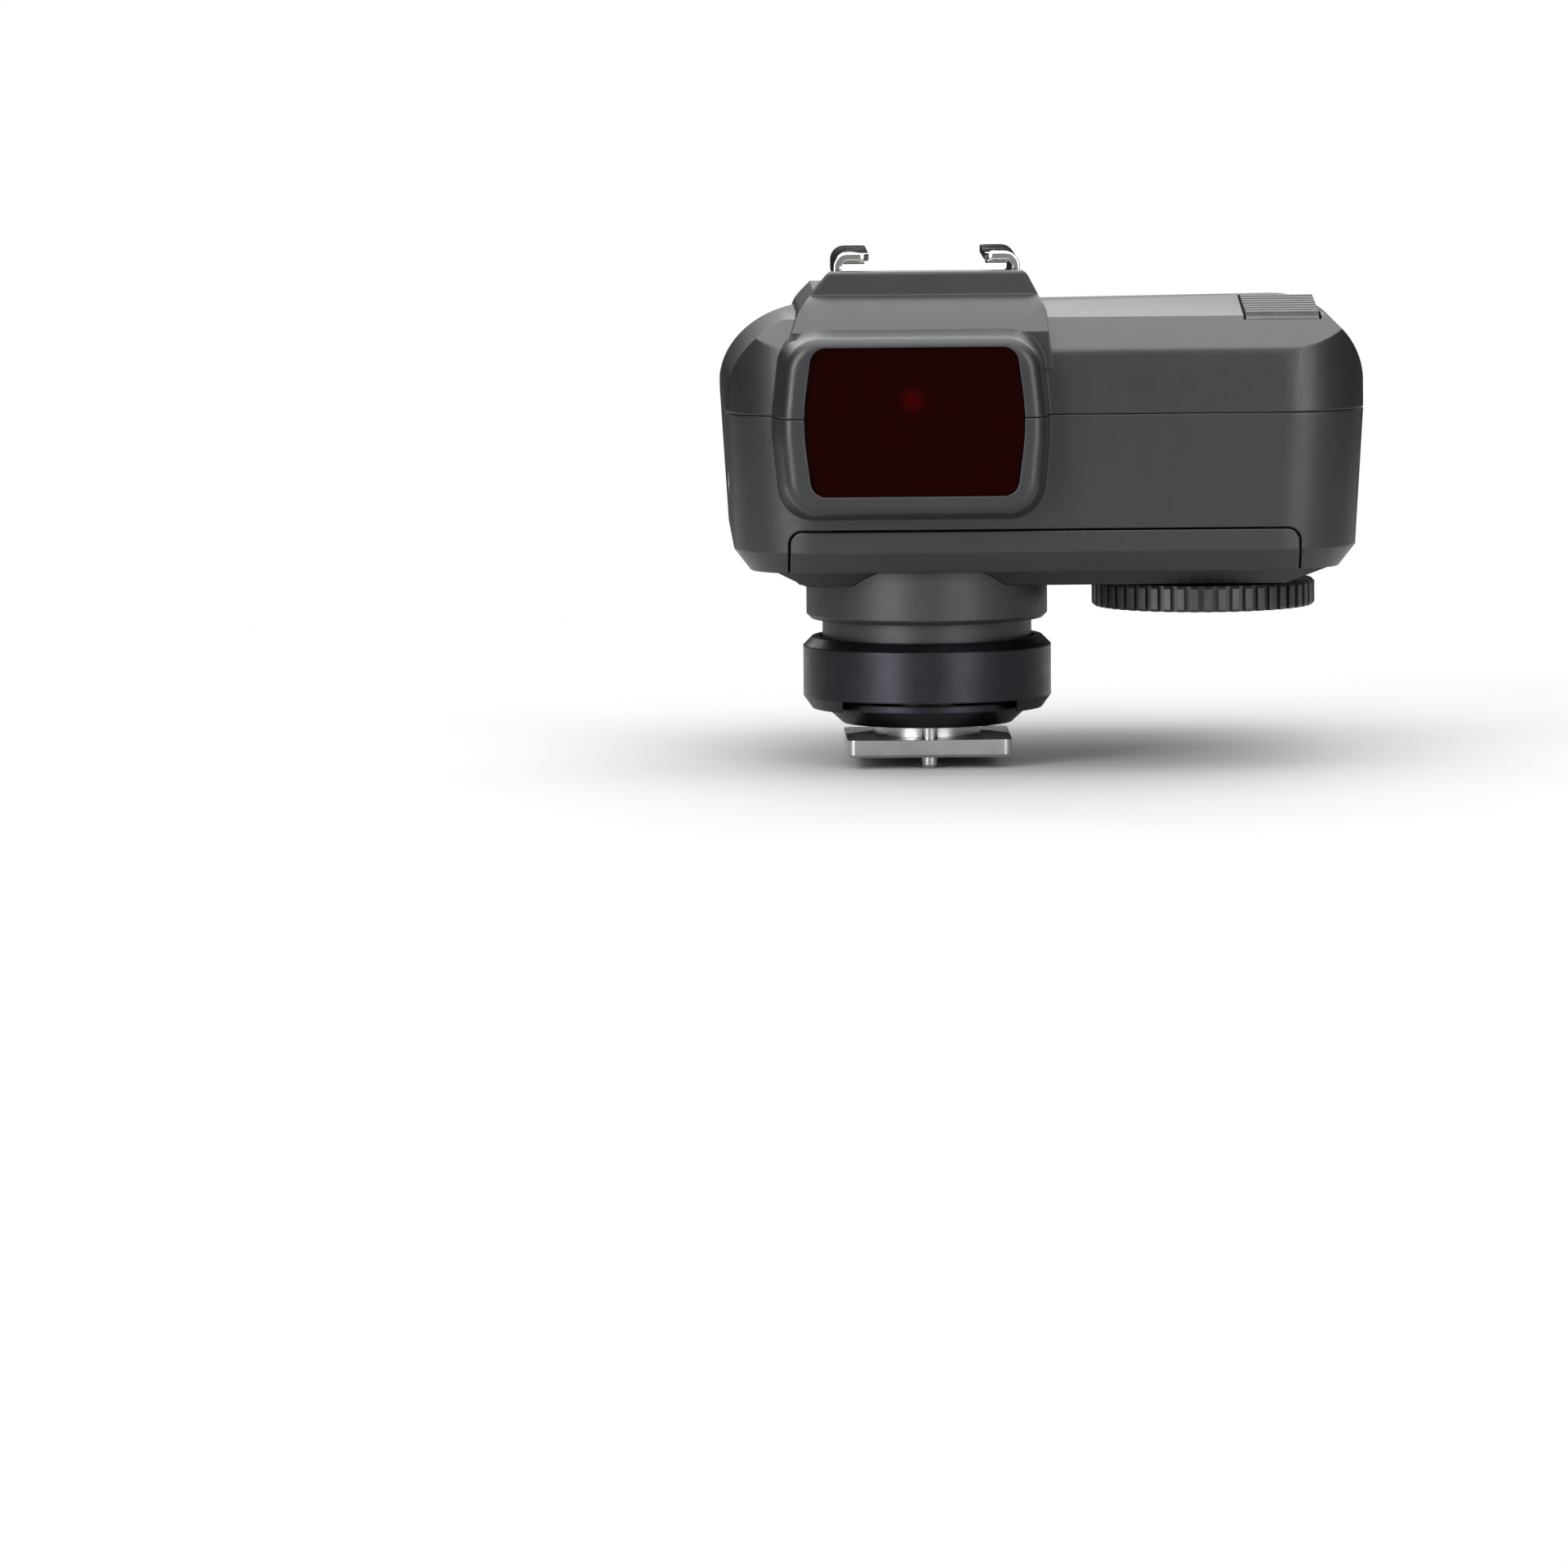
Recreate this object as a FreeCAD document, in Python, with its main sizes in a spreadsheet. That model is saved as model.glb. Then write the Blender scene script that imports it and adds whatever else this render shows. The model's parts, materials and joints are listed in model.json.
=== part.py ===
import FreeCAD, Part
import math
import os
import Sketcher

from FreeCAD import Rotation, Vector

# Wireless flash trigger, in millimetres.
# The origin is the centre of the mounting foot's underside. +Z is up, -Y is the side with the
# lamp window, which faces the subject, and +X is to the right when looking at that window.

SIZES = {
    # casing: a rounded box split at the seam into a top and a bottom shell
    "casing_left": -22.8,
    "casing_right": 49.1,
    "casing_front": -18.0,
    "casing_rear": 47.0,
    "casing_floor": 21.4,
    "casing_corner": 9.5,
    "casing_draft": 3.4,
    "seam": 39.25,
    "seam_groove": 0.12,
    "wall": 1.8,
    "bevel_in": 1.7,
    "bevel_up": 2.4,
    "shoulder_left": 50.6,
    "shoulder_right": 51.6,
    "round_left": 10.6,
    "round_right": 9.8,
    "brow_low": 46.4,
    "brow_depth": 5.0,
    "brow_high": 49.9,
    "crest_depth": 20.0,
    "crest": 51.5,
    "panel_start": 4.0,
    "panel_fall": 0.3256,
    "part_gap": 0.25,
    # raised hump that carries the accessory shoe
    "hump_half_top": 11.0,
    "hump_left": -14.6,
    "hump_right": 13.2,
    "hump_foot": 50.9,
    "hump_skirt": 44.4,
    "hump_skirt_left": -16.9,
    "hump_skirt_right": 13.7,
    "hump_top": 55.1,
    "hump_front": -12.0,
    "hump_rear": 11.8,
    # lamp window
    "window_left": -17.0,
    "window_right": 13.0,
    "window_low": 28.3,
    "window_high": 49.1,
    "window_bulge": 1.1,
    "window_out": 5.0,
    "window_taper": 9.0,
    "window_corner": 4.2,
    "window_edge": 1.5,
    "lens_left": -14.4,
    "lens_right": 10.7,
    "lens_low": 30.5,
    "lens_high": 47.2,
    "lens_corner": 1.8,
    "lens_thick": 1.4,
    "lens_recess": 0.5,
    # chassis cover under the casing, with its front lip, and the battery door behind it
    "cover_left": -15.7,
    "cover_right": 41.4,
    "lip_top": 26.15,
    "lip_thick": 1.7,
    "lip_corner": 1.4,
    "web_thick": 1.6,
    "cover_split": 14.6,
    "pan_bottom": 19.56,
    "pan_left": -17.2,
    "pan_right": 44.6,
    "pan_front": -12.6,
    "pan_lean_side": 3.4,
    "pan_lean_front": 2.0,
    "door_travel": 6.0,
    # battery cells, lying side by side along X
    "cell_radius": 7.1,
    "cell_length": 49.2,
    "cell_left": -11.6,
    "cell_height": 30.6,
    "cell_front": 22.3,
    "cell_rear": 36.7,
    # mounting foot, after ISO 518
    "foot_width": 18.6,
    "foot_length": 18.0,
    "foot_thick": 2.0,
    "foot_web": 6.0,
    "insulator_radius": 4.4,
    "collar_radius": 13.65,
    "collar_bottom": 15.3,
    "neck_radius": 11.85,
    "neck_bottom": 8.1,
    "ring_radius": 14.05,
    "ring_bottom": 5.1,
    "ring_top": 13.2,
    "ring_bevel": 1.0,
    "ring_clear": 0.3,
    "clamp_low": 3.4,
    "clamp_low_radius": 9.6,
    "clamp_radius": 11.6,
    "clamp_shoulder": 5.2,
    "clamp_top": 6.0,
    "lock_pin_radius": 0.9,
    "lock_pin_y": -7.55,
    "lock_pin_tip": -1.3,
    "contact_out": 0.7,
    # accessory shoe on top, after ISO 518
    "shoe_half": 10.5,
    "shoe_length": 18.0,
    "shoe_seat": 53.9,
    "shoe_lip": 57.0,
    "shoe_sheet": 0.9,
    "shoe_gap_half": 6.5,
    # thumbwheel
    "dial_x": 31.4,
    "dial_y": 1.0,
    "dial_radius": 12.65,
    "dial_bottom": 16.35,
    "dial_top": 19.26,
    "dial_root": 12.0,
    "dial_shaft": 3.0,
    # test key on the right shoulder
    "key_left": 35.7,
    "key_right": 43.9,
    "key_front": -13.4,
    "key_rear": 1.2,
    "key_front_top": 49.8,
    "key_rear_top": 51.05,
    "key_pitch": 1.8,
    "rib_high": 0.45,
    # rear control panel, measured down its slope from its upper edge
    "panel_left": -17.0,
    "panel_right": 43.4,
    "panel_top_y": 12.4,
    "panel_low_y": 43.6,
    "panel_thick": 1.0,
    "screen_left": -4.5,
    "screen_right": 39.5,
    "screen_top_y": 14.8,
    "screen_low_y": 34.6,
    # side ports
    "jack_y": -3.0,
    "usb_y": 6.1,
    "port_z": 31.0,
    "jack_bore": 1.25,
    # circuit board above the batteries
    "board_low": 40.2,
    "board_high": 41.8,
}


class Size:
    # a value that also knows the spreadsheet expression it comes from
    def __init__(self, text, value):
        self.text = text
        self.value = value

    def __add__(self, other):
        other = as_size(other)
        return Size("(%s + %s)" % (self.text, other.text), self.value + other.value)

    def __radd__(self, other):
        return as_size(other) + self

    def __sub__(self, other):
        other = as_size(other)
        return Size("(%s - %s)" % (self.text, other.text), self.value - other.value)

    def __mul__(self, other):
        other = as_size(other)
        return Size("(%s * %s)" % (self.text, other.text), self.value * other.value)

    def __truediv__(self, other):
        other = as_size(other)
        return Size("(%s / %s)" % (self.text, other.text), self.value / other.value)

    def __neg__(self):
        return Size("(0 - %s)" % self.text, -self.value)


def as_size(item):
    if isinstance(item, Size):
        return item
    return Size("%.6g" % item if item >= 0 else "(0 - %.6g)" % -item, float(item))


class Dimensions:
    def __getattr__(self, alias):
        return Size("Dims." + alias, SIZES[alias])


doc = FreeCAD.newDocument("FlashTrigger")
sheet = doc.addObject("Spreadsheet::Sheet", "Dims")
for row, (alias, number) in enumerate(SIZES.items(), 1):
    sheet.set("A%d" % row, alias)
    sheet.set("B%d" % row, str(number))
    sheet.setAlias("B%d" % row, alias)
doc.recompute()
dim = Dimensions()
nodes = []

COVER_SCREW_X = (-13.2, 39.5)
COVER_SCREW_Y = (-8.6, 9.6)
CASING_SCREW_X = (-18.3, 44.3)
CASING_SCREW_Y = 17.5
DOOR_TABS = ((20.0, 24.0), (29.5, 33.5))
TAB_REACH = 1.4
SHOE_SCREW_SPOTS = [(x, y) for x in (-5.1, 5.1) for y in (-6.4, 6.4)]
SWITCH_SLOTS = {"power_switch": (22.0, 32.0), "lamp_switch": (-8.0, 0.0)}
AXES = {"X": Vector(1, 0, 0), "Y": Vector(0, 1, 0), "Z": Vector(0, 0, 1)}


def bind(thing, prop, size):
    size = as_size(size)
    if prop.startswith("Constraints") or prop.startswith("Placement") or prop.startswith("Attachment"):
        thing.setExpression(prop, size.text)
        return
    setattr(thing, prop, size.value)
    thing.setExpression(prop, size.text)


def place(thing, x=0, y=0, z=0):
    for letter, size in (("x", x), ("y", y), ("z", z)):
        bind(thing, "Placement.Base." + letter, size)


def node(thing, label):
    thing.Label = label
    nodes.append(thing)
    return thing


# sketches and PartDesign bodies

def start_body(name):
    return doc.addObject("PartDesign::Body", name)


def start_sketch(body, name, plane, offset=0):
    sketch = body.newObject("Sketcher::SketchObject", name)
    origin_planes = [item for item in body.Origin.OriginFeatures if item.Role == plane + "_Plane"]
    sketch.AttachmentSupport = (origin_planes[0], [""])
    sketch.MapMode = "FlatFace"
    bind(sketch, "AttachmentOffset.Base.z", offset)
    return sketch


def fix_point(sketch, geometry, end, point):
    for kind, size in zip(("DistanceX", "DistanceY"), point):
        size = as_size(size)
        index = sketch.addConstraint(Sketcher.Constraint(kind, -1, 1, geometry, end, size.value))
        bind(sketch, "Constraints[%d]" % index, size)


def add_polygon(sketch, points):
    first = sketch.GeometryCount
    flat = [Vector(as_size(u).value, as_size(v).value, 0) for u, v in points]
    for start, end in zip(flat, flat[1:] + flat[:1]):
        sketch.addGeometry(Part.LineSegment(start, end), False)
    for index in range(len(flat)):
        following = (index + 1) % len(flat)
        sketch.addConstraint(Sketcher.Constraint("Coincident", first + index, 2, first + following, 1))
    for index, point in enumerate(points):
        fix_point(sketch, first + index, 1, point)


def add_circle(sketch, centre, radius):
    spot = Vector(as_size(centre[0]).value, as_size(centre[1]).value, 0)
    number = sketch.addGeometry(Part.Circle(spot, Vector(0, 0, 1), as_size(radius).value), False)
    fix_point(sketch, number, 3, centre)
    index = sketch.addConstraint(Sketcher.Constraint("Radius", number, as_size(radius).value))
    bind(sketch, "Constraints[%d]" % index, radius)


def rectangle(left, right, low, high):
    return [(left, low), (right, low), (right, high), (left, high)]


def prism(name, plane, points, low, high, taper=0.0):
    # a closed outline drawn square to X, Y or Z and drawn out between two positions on that axis.
    # XY prisms rise from low to high, or fall if high is below low. XZ prisms start at high.
    body = start_body(name)
    low = as_size(low)
    high = as_size(high)
    if plane == "XZ":
        sketch = start_sketch(body, name + "_outline", plane, -high)
    else:
        sketch = start_sketch(body, name + "_outline", plane, low)
    add_polygon(sketch, points)
    pad = body.newObject("PartDesign::Pad", name + "_pad")
    pad.Profile = sketch
    if high.value < low.value:
        pad.Reversed = True
        bind(pad, "Length", low - high)
    else:
        bind(pad, "Length", high - low)
    bind(pad, "TaperAngle", taper)
    doc.recompute()
    return body


def turned(name, points, x=0, y=0):
    # an outline of (radius, height) points turned about a vertical axis at x, y
    body = start_body(name)
    sketch = start_sketch(body, name + "_outline", "XZ")
    add_polygon(sketch, points)
    revolution = body.newObject("PartDesign::Revolution", name + "_turn")
    revolution.Profile = sketch
    revolution.ReferenceAxis = (sketch, ["V_Axis"])
    revolution.Angle = 360.0
    place(body, x, y)
    doc.recompute()
    return body


def line_edges(shape, axis, accept):
    # names of the straight edges that run along one axis, or nearly so on a drafted shape
    names = []
    for number, edge in enumerate(shape.Edges, 1):
        if len(edge.Vertexes) < 2:
            continue
        run = edge.Vertexes[-1].Point - edge.Vertexes[0].Point
        if edge.Length - run.Length < 1e-4 and abs(run.dot(AXES[axis])) > 0.95 * run.Length:
            if accept is None or accept(edge.CenterOfMass):
                names.append("Edge%d" % number)
    return names


def round_edges(body, axis, radius, accept=None):
    tip = body.Tip
    names = line_edges(tip.Shape, axis, accept)
    fillet = body.newObject("PartDesign::Fillet", body.Name + "_round")
    fillet.Base = (tip, names)
    bind(fillet, "Radius", radius)
    body.Tip = fillet
    doc.recompute()
    return body


def bevel_loop(body, height, inward, upward=None):
    # bevels the whole outline of the flat face at one height
    tip = body.Tip
    names = []
    for number, edge in enumerate(tip.Shape.Edges, 1):
        box = edge.BoundBox
        if abs(box.ZMin - height) < 1e-4 and abs(box.ZMax - height) < 1e-4:
            names.append("Edge%d" % number)
    chamfer = body.newObject("PartDesign::Chamfer", body.Name + "_bevel")
    chamfer.Base = (tip, names)
    if upward is None:
        bind(chamfer, "Size", inward)
    else:
        chamfer.ChamferType = "Two distances"
        bind(chamfer, "Size", upward)
        bind(chamfer, "Size2", inward)
    body.Tip = chamfer
    doc.recompute()
    return body


# Part primitives and booleans

def block(name, left, right, front, rear, low, high):
    box = doc.addObject("Part::Box", name)
    bind(box, "Length", as_size(right) - left)
    bind(box, "Width", as_size(rear) - front)
    bind(box, "Height", as_size(high) - low)
    place(box, left, front, low)
    return box


def rod(name, radius, length, x=0, y=0, z=0, along="Z"):
    cylinder = doc.addObject("Part::Cylinder", name)
    bind(cylinder, "Radius", radius)
    bind(cylinder, "Height", length)
    cylinder.Placement.Rotation = Rotation(AXES["Z"], AXES[along])
    place(cylinder, x, y, z)
    return cylinder


def fuse(name, *shapes):
    result = doc.addObject("Part::MultiFuse", name)
    result.Shapes = list(shapes)
    result.Refine = True
    return result


def common(name, *shapes):
    result = doc.addObject("Part::MultiCommon", name)
    result.Shapes = list(shapes)
    return result


def cut(name, base, *tools):
    result = doc.addObject("Part::Cut", name)
    result.Base = base
    result.Tool = tools[0] if len(tools) == 1 else fuse(name + "_tools", *tools)
    result.Refine = True
    return result


def group(name, *shapes):
    result = doc.addObject("Part::Compound", name)
    result.Links = list(shapes)
    return result


def slope_z(y):
    # height of the rear slope at y
    return dim.crest - (as_size(y) - dim.panel_start) * dim.panel_fall


PANEL_TILT = Rotation(AXES["X"], -math.degrees(math.atan(SIZES["panel_fall"])))


def on_slope(thing, x, y, depth):
    # lays a shape drawn about its own origin on the rear slope, depth below its surface
    run = math.sqrt(1 + SIZES["panel_fall"] ** 2)
    thing.Placement.Rotation = PANEL_TILT
    sink = as_size(depth) * run
    place(thing, x, y, slope_z(y) - sink)
    return thing


# casing shells

def upper_block(name, inset):
    # the rounded wedge above the seam: plan outline, front outline and side outline together
    left = dim.casing_left + inset
    right = dim.casing_right - inset
    front = dim.casing_front + inset
    rear = dim.casing_rear - inset
    plan = prism(name + "_plan", "XY", rectangle(left, right, front, rear), dim.seam, dim.crest + 2)
    round_edges(plan, "Z", dim.casing_corner - inset)
    if inset == 0:
        bevel_loop(plan, SIZES["seam"], dim.seam_groove)
    shoulders = prism(name + "_shoulders", "XZ",
                      [(left, dim.seam - 1), (right, dim.seam - 1),
                       (right, dim.shoulder_right - inset), (left, dim.shoulder_left - inset)],
                      front - 1, rear + 1)
    middle = 10.0
    round_edges(shoulders, "Y", dim.round_left - inset,
                lambda spot: spot.x < middle and spot.z > SIZES["brow_low"])
    round_edges(shoulders, "Y", dim.round_right - inset,
                lambda spot: spot.x > middle and spot.z > SIZES["brow_low"])
    side = prism(name + "_side", "YZ",
                 [(front, dim.seam - 1), (rear + 1, dim.seam - 1),
                  (rear + 1, slope_z(rear + 1) - inset * 1.05),
                  (dim.panel_start, dim.crest - inset * 1.05),
                  (dim.casing_front + dim.crest_depth, dim.crest - inset),
                  (dim.casing_front + dim.brow_depth + inset * 0.5, dim.brow_high - inset),
                  (front, dim.brow_low - inset * 0.5)],
                 left - 1, right + 1)
    round_edges(side, "X", 1.2, lambda spot: spot.y < SIZES["casing_front"] + 3 and spot.z > 44)
    return common(name, plan, shoulders, side)


def lower_block(name, inset):
    # the drafted shell below the seam, with a bevel all round its floor
    body = prism(name, "XY",
                 rectangle(dim.casing_left + inset, dim.casing_right - inset,
                           dim.casing_front + inset, dim.casing_rear - inset),
                 dim.seam, dim.casing_floor + inset, -dim.casing_draft)
    round_edges(body, "Z", dim.casing_corner - inset)
    bevel_loop(body, SIZES["casing_floor"] + inset, dim.bevel_in, dim.bevel_up)
    if inset == 0:
        bevel_loop(body, SIZES["seam"], dim.seam_groove)
    return body


def barrel(name, left, right, low, high, bulge, corner, front, rear, taper=0.0):
    # an upright rounded outline whose sides bow outwards, narrowing from rear to front
    middle = (low + high) / 2
    body = prism(name, "XZ",
                 [(left + bulge, low), (right - bulge, low), (right, middle),
                  (right - bulge, high), (left + bulge, high), (left, middle)],
                 front, rear, taper)
    reach = (high.value - low.value) * 0.4
    round_edges(body, "Y", corner, lambda spot: abs(spot.z - middle.value) > reach)
    round_edges(body, "Y", 25.0, lambda spot: abs(spot.z - middle.value) < 1)
    return body


top_outer = upper_block("top_outer", 0)
top_inner = upper_block("top_inner", SIZES["wall"])
bottom_outer = lower_block("bottom_outer", 0)
bottom_inner = lower_block("bottom_inner", SIZES["wall"])

hump_width = prism("hump_width", "XZ",
                   [(dim.hump_skirt_left, dim.hump_skirt), (dim.hump_skirt_right, dim.hump_skirt),
                    (dim.hump_right, dim.hump_foot), (dim.hump_half_top, dim.hump_top),
                    (-dim.hump_half_top, dim.hump_top), (dim.hump_left, dim.hump_foot)],
                   -24, dim.hump_rear)
round_edges(hump_width, "Y", 1.2, lambda spot: spot.z > SIZES["hump_top"] - 1)
round_edges(hump_width, "Y", 2.5, lambda spot: abs(spot.z - SIZES["hump_foot"]) < 1)
hump_side = prism("hump_side", "YZ",
                  [(dim.casing_front - 0.2, dim.window_high - 5), (dim.hump_rear, dim.window_high - 5),
                   (dim.hump_rear, dim.shoe_seat - 2.2), (dim.hump_rear - 2.4, dim.shoe_seat - 0.9),
                   (dim.hump_front + 2.7, dim.shoe_seat - 0.9), (dim.hump_front + 2.7, dim.hump_top),
                   (dim.hump_front, dim.hump_top), (dim.hump_front - 0.5, dim.hump_top - 2.6),
                   (dim.hump_front - 2.7, dim.hump_top - 3.5), (dim.casing_front - 0.2, dim.window_high - 0.5)],
                  dim.hump_skirt_left - 1, dim.hump_skirt_right + 1)
round_edges(hump_side, "X", 0.5, lambda spot: spot.z > SIZES["hump_top"] - 0.1)
hump = common("hump", hump_width, hump_side)
hump_hollow = block("hump_hollow", -dim.hump_half_top + 1.5, dim.hump_half_top - 1.5,
                    dim.hump_front + 1.8, dim.hump_rear - 4, dim.hump_foot - 3, dim.shoe_seat - 2.6)

flare = dim.window_out * 0.16
window_frame = barrel("window_frame", dim.window_left - flare, dim.window_right + flare,
                      dim.window_low - flare, dim.window_high, dim.window_bulge, dim.window_corner,
                      dim.casing_front - dim.window_out, dim.casing_front + 1.2, -dim.window_taper)
lens_hole = barrel("lens_hole", dim.lens_left, dim.lens_right, dim.lens_low, dim.lens_high,
                   dim.window_bulge, dim.lens_corner,
                  dim.casing_front - dim.window_out - 1, dim.casing_front + 3)
frame_face = dim.casing_front - dim.window_out
tip = window_frame.Tip
rim = ["Edge%d" % number for number, edge in enumerate(tip.Shape.Edges, 1)
       if edge.BoundBox.YMax - frame_face.value < 1e-4]
frame_round = window_frame.newObject("PartDesign::Fillet", "window_frame_rim")
frame_round.Base = (tip, rim)
bind(frame_round, "Radius", dim.window_edge)
window_frame.Tip = frame_round
doc.recompute()
above_seam = block("above_seam", -60, 60, -40, 60, dim.seam + dim.seam_groove / 2, 70)
below_seam = block("below_seam", -60, 60, -40, 60, 0, dim.seam - dim.seam_groove / 2)
above_slope = prism("above_slope", "YZ",
                    [(dim.panel_start, dim.crest), (dim.casing_rear + 5, slope_z(dim.casing_rear + 5)),
                     (dim.casing_rear + 5, dim.crest)], -60, 60)
below_skin = dim.wall * 1.05
above_slope_inner = prism("above_slope_inner", "YZ",
                          [(dim.panel_start, dim.crest - below_skin),
                           (dim.casing_rear + 5, slope_z(dim.casing_rear + 5) - below_skin),
                           (dim.casing_rear + 5, dim.crest)], -60, 60)
panel_hole = prism("panel_hole", "YZ",
                   [(dim.panel_top_y, slope_z(dim.panel_top_y) + 2),
                    (dim.panel_top_y, slope_z(dim.panel_top_y) - dim.panel_thick * 1.06),
                    (dim.panel_low_y, slope_z(dim.panel_low_y) - dim.panel_thick * 1.06),
                    (dim.panel_low_y, slope_z(dim.panel_low_y) + 2)],
                   dim.panel_left - 0.15, dim.panel_right + 0.15)
panel_depth = prism("panel_depth", "YZ",
                    [(dim.panel_top_y + 1.2, slope_z(dim.panel_top_y + 1.2)),
                     (dim.panel_top_y + 1.2, slope_z(dim.panel_top_y + 1.2) - 4),
                     (dim.panel_low_y - 1.2, slope_z(dim.panel_low_y - 1.2) - 4),
                     (dim.panel_low_y - 1.2, slope_z(dim.panel_low_y - 1.2))],
                    dim.panel_left + 1.05, dim.panel_right - 1.05)
key_hole = block("key_hole", dim.key_left - dim.part_gap, dim.key_right + dim.part_gap,
                 dim.key_front - dim.part_gap, dim.key_rear + dim.part_gap, dim.seam + 2, dim.crest + 4)
upper_shell = common("upper_shell", fuse("upper_mass", top_outer, hump, window_frame), above_seam)
upper_bosses = common("upper_bosses", top_outer, fuse("upper_boss_pair", *[
    rod("upper_boss", 2.1, 8, x, CASING_SCREW_Y, dim.seam + dim.seam_groove / 2) for x in CASING_SCREW_X]))
upper_pilots = [rod("upper_pilot", 1.0, 10, x, CASING_SCREW_Y, 34) for x in CASING_SCREW_X]
upper_hollow = cut("upper_hollow", top_inner, upper_bosses)
shoe_screw_pilots = [rod("shoe_screw_pilot", 0.85, 6, x, y, dim.shoe_seat - 5) for x, y in SHOE_SCREW_SPOTS]
node(cut("top_casing_cut", upper_shell, upper_hollow, hump_hollow, lens_hole, panel_hole, panel_depth,
         key_hole, *shoe_screw_pilots, *upper_pilots), "top_casing")

side_cut_depth = 4
floor_hole = prism("floor_hole", "XZ",
                   rectangle(dim.cover_left - dim.part_gap, dim.cover_right + dim.part_gap,
                             0, dim.lip_top + dim.part_gap), -40, 60)
round_edges(floor_hole, "Y", dim.lip_corner + dim.part_gap, lambda spot: spot.z > SIZES["casing_floor"])
jack_hole = rod("jack_hole", 3.0, 6, dim.casing_left - 1, dim.jack_y, dim.port_z, "X")
usb_hole = block("usb_hole", dim.casing_left - 1, dim.casing_left + side_cut_depth,
                 dim.usb_y - 4.6, dim.usb_y + 4.6, dim.port_z - 1.7, dim.port_z + 1.7)
slots = []
for switch, (start, end) in SWITCH_SLOTS.items():
    slots.append(block(switch + "_slot", dim.casing_right - side_cut_depth, dim.casing_right + 1,
                       start, end, dim.port_z - 1.8, dim.port_z + 1.8))
boss_foot = dim.casing_floor + dim.web_thick + 0.05
screw_bosses = [block("cover_boss", x - 2.1, x + 2.1, front, rear, low, high)
                for x in COVER_SCREW_X
                for front, rear, low, high in ((dim.casing_front + 3.2, -6.6, boss_foot, 31),
                                               (dim.casing_front + 1, dim.casing_front + 4, 27.2, 31),
                                               (7.4, 13.2, boss_foot, 31))]
boss_height = dim.seam - dim.casing_floor - 1
screw_bosses += [rod("casing_boss", 2.1, boss_height, x, CASING_SCREW_Y, dim.casing_floor + 1)
                 for x in CASING_SCREW_X]
partition = block("partition", dim.casing_left + 1, dim.casing_right - 1, 13.0, 14.6, boss_foot, 38.4)
cover_pilots = [rod("cover_pilot", 1.0, 9, x, y, 20) for x in COVER_SCREW_X for y in COVER_SCREW_Y]
casing_pilots = [rod("casing_pilot", 1.0, 24, x, CASING_SCREW_Y, 20) for x in CASING_SCREW_X]
casing_sinks = [rod("casing_sink", 1.75, 2.2, x, CASING_SCREW_Y, 20.4) for x in CASING_SCREW_X]
lower_hollow = cut("lower_hollow", bottom_inner, above_slope_inner)
tab_gates = [block("tab_gate", left, left + 2.4, start + dim.door_travel - 0.2, end + dim.door_travel + 0.2,
                   dim.casing_floor - 1, dim.casing_floor + 2.2)
             for left in (dim.cover_left - 2.0, dim.cover_right - 0.4) for start, end in DOOR_TABS]
lower_shell = cut("lower_shell", cut("lower_wedge", bottom_outer, above_slope), lower_hollow, floor_hole)
inner_works = common("inner_works", bottom_outer, fuse("inner_mass", partition, *screw_bosses))
lower_mass = fuse("lower_mass", lower_shell, inner_works, common("window_lower", window_frame, below_seam))
node(cut("bottom_casing_cut", lower_mass, lens_hole, panel_hole, panel_depth, jack_hole, usb_hole,
         *slots, *cover_pilots, *casing_pilots, *casing_sinks, *tab_gates), "bottom_casing")


# chassis cover and battery door

def floor_plate(name, front, rear, lip_front, lip_rear):
    # the part of the casing's lower skin between front and rear, with a lip standing at one end
    base = dim.casing_floor - 1
    web = dim.casing_floor + dim.web_thick
    plate = block(name + "_web", dim.cover_left, dim.cover_right, front, rear, base, web)
    lip = prism(name + "_lip", "XZ", rectangle(dim.cover_left, dim.cover_right, base, dim.lip_top),
                lip_front, lip_rear)
    round_edges(lip, "Y", dim.lip_corner, lambda spot: spot.z > SIZES["casing_floor"])
    return common(name + "_skin", bottom_outer, fuse(name + "_mass", plate, lip))


cover_skin = floor_plate("cover", -25, dim.cover_split, -25, dim.casing_front + dim.lip_thick + 1.0)
pan_width = prism("pan_width", "XZ",
                  [(dim.pan_left + dim.pan_lean_side, dim.pan_bottom),
                   (dim.pan_right - dim.pan_lean_side - 1, dim.pan_bottom),
                   (dim.pan_right, dim.casing_floor), (dim.pan_left, dim.casing_floor)],
                  -20, dim.cover_split)
round_edges(pan_width, "Y", 1.5, lambda spot: spot.z < SIZES["pan_bottom"] + 0.1)
pan_side = prism("pan_side", "YZ",
                 [(dim.pan_front + dim.pan_lean_front, dim.pan_bottom), (dim.cover_split, dim.pan_bottom),
                  (dim.cover_split, dim.casing_floor), (dim.pan_front, dim.casing_floor)], -25, 55)
pan = common("pan", pan_width, pan_side)
collar_seat = rod("collar_seat", dim.collar_radius, dim.casing_floor - 10, 0, 0, 10)
stud_hole = rod("stud_hole", dim.foot_web, 20, 0, 0, 10)
shaft_hole = rod("shaft_hole", dim.dial_shaft + 0.4, 20, dim.dial_x, dim.dial_y, 10)
cover_screw_holes = [rod("cover_screw_hole", 1.0, 8, x, y, dim.pan_bottom - 2)
                     for x in COVER_SCREW_X for y in COVER_SCREW_Y]
cover_sinks = [rod("cover_sink", 1.75, 2.2, x, y, dim.pan_bottom - 1)
               for x in COVER_SCREW_X for y in COVER_SCREW_Y]
node(cut("bottom_cover_cut", fuse("cover_mass", cover_skin, pan), collar_seat, stud_hole, shaft_hole,
         *cover_screw_holes, *cover_sinks), "bottom_cover")

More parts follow.
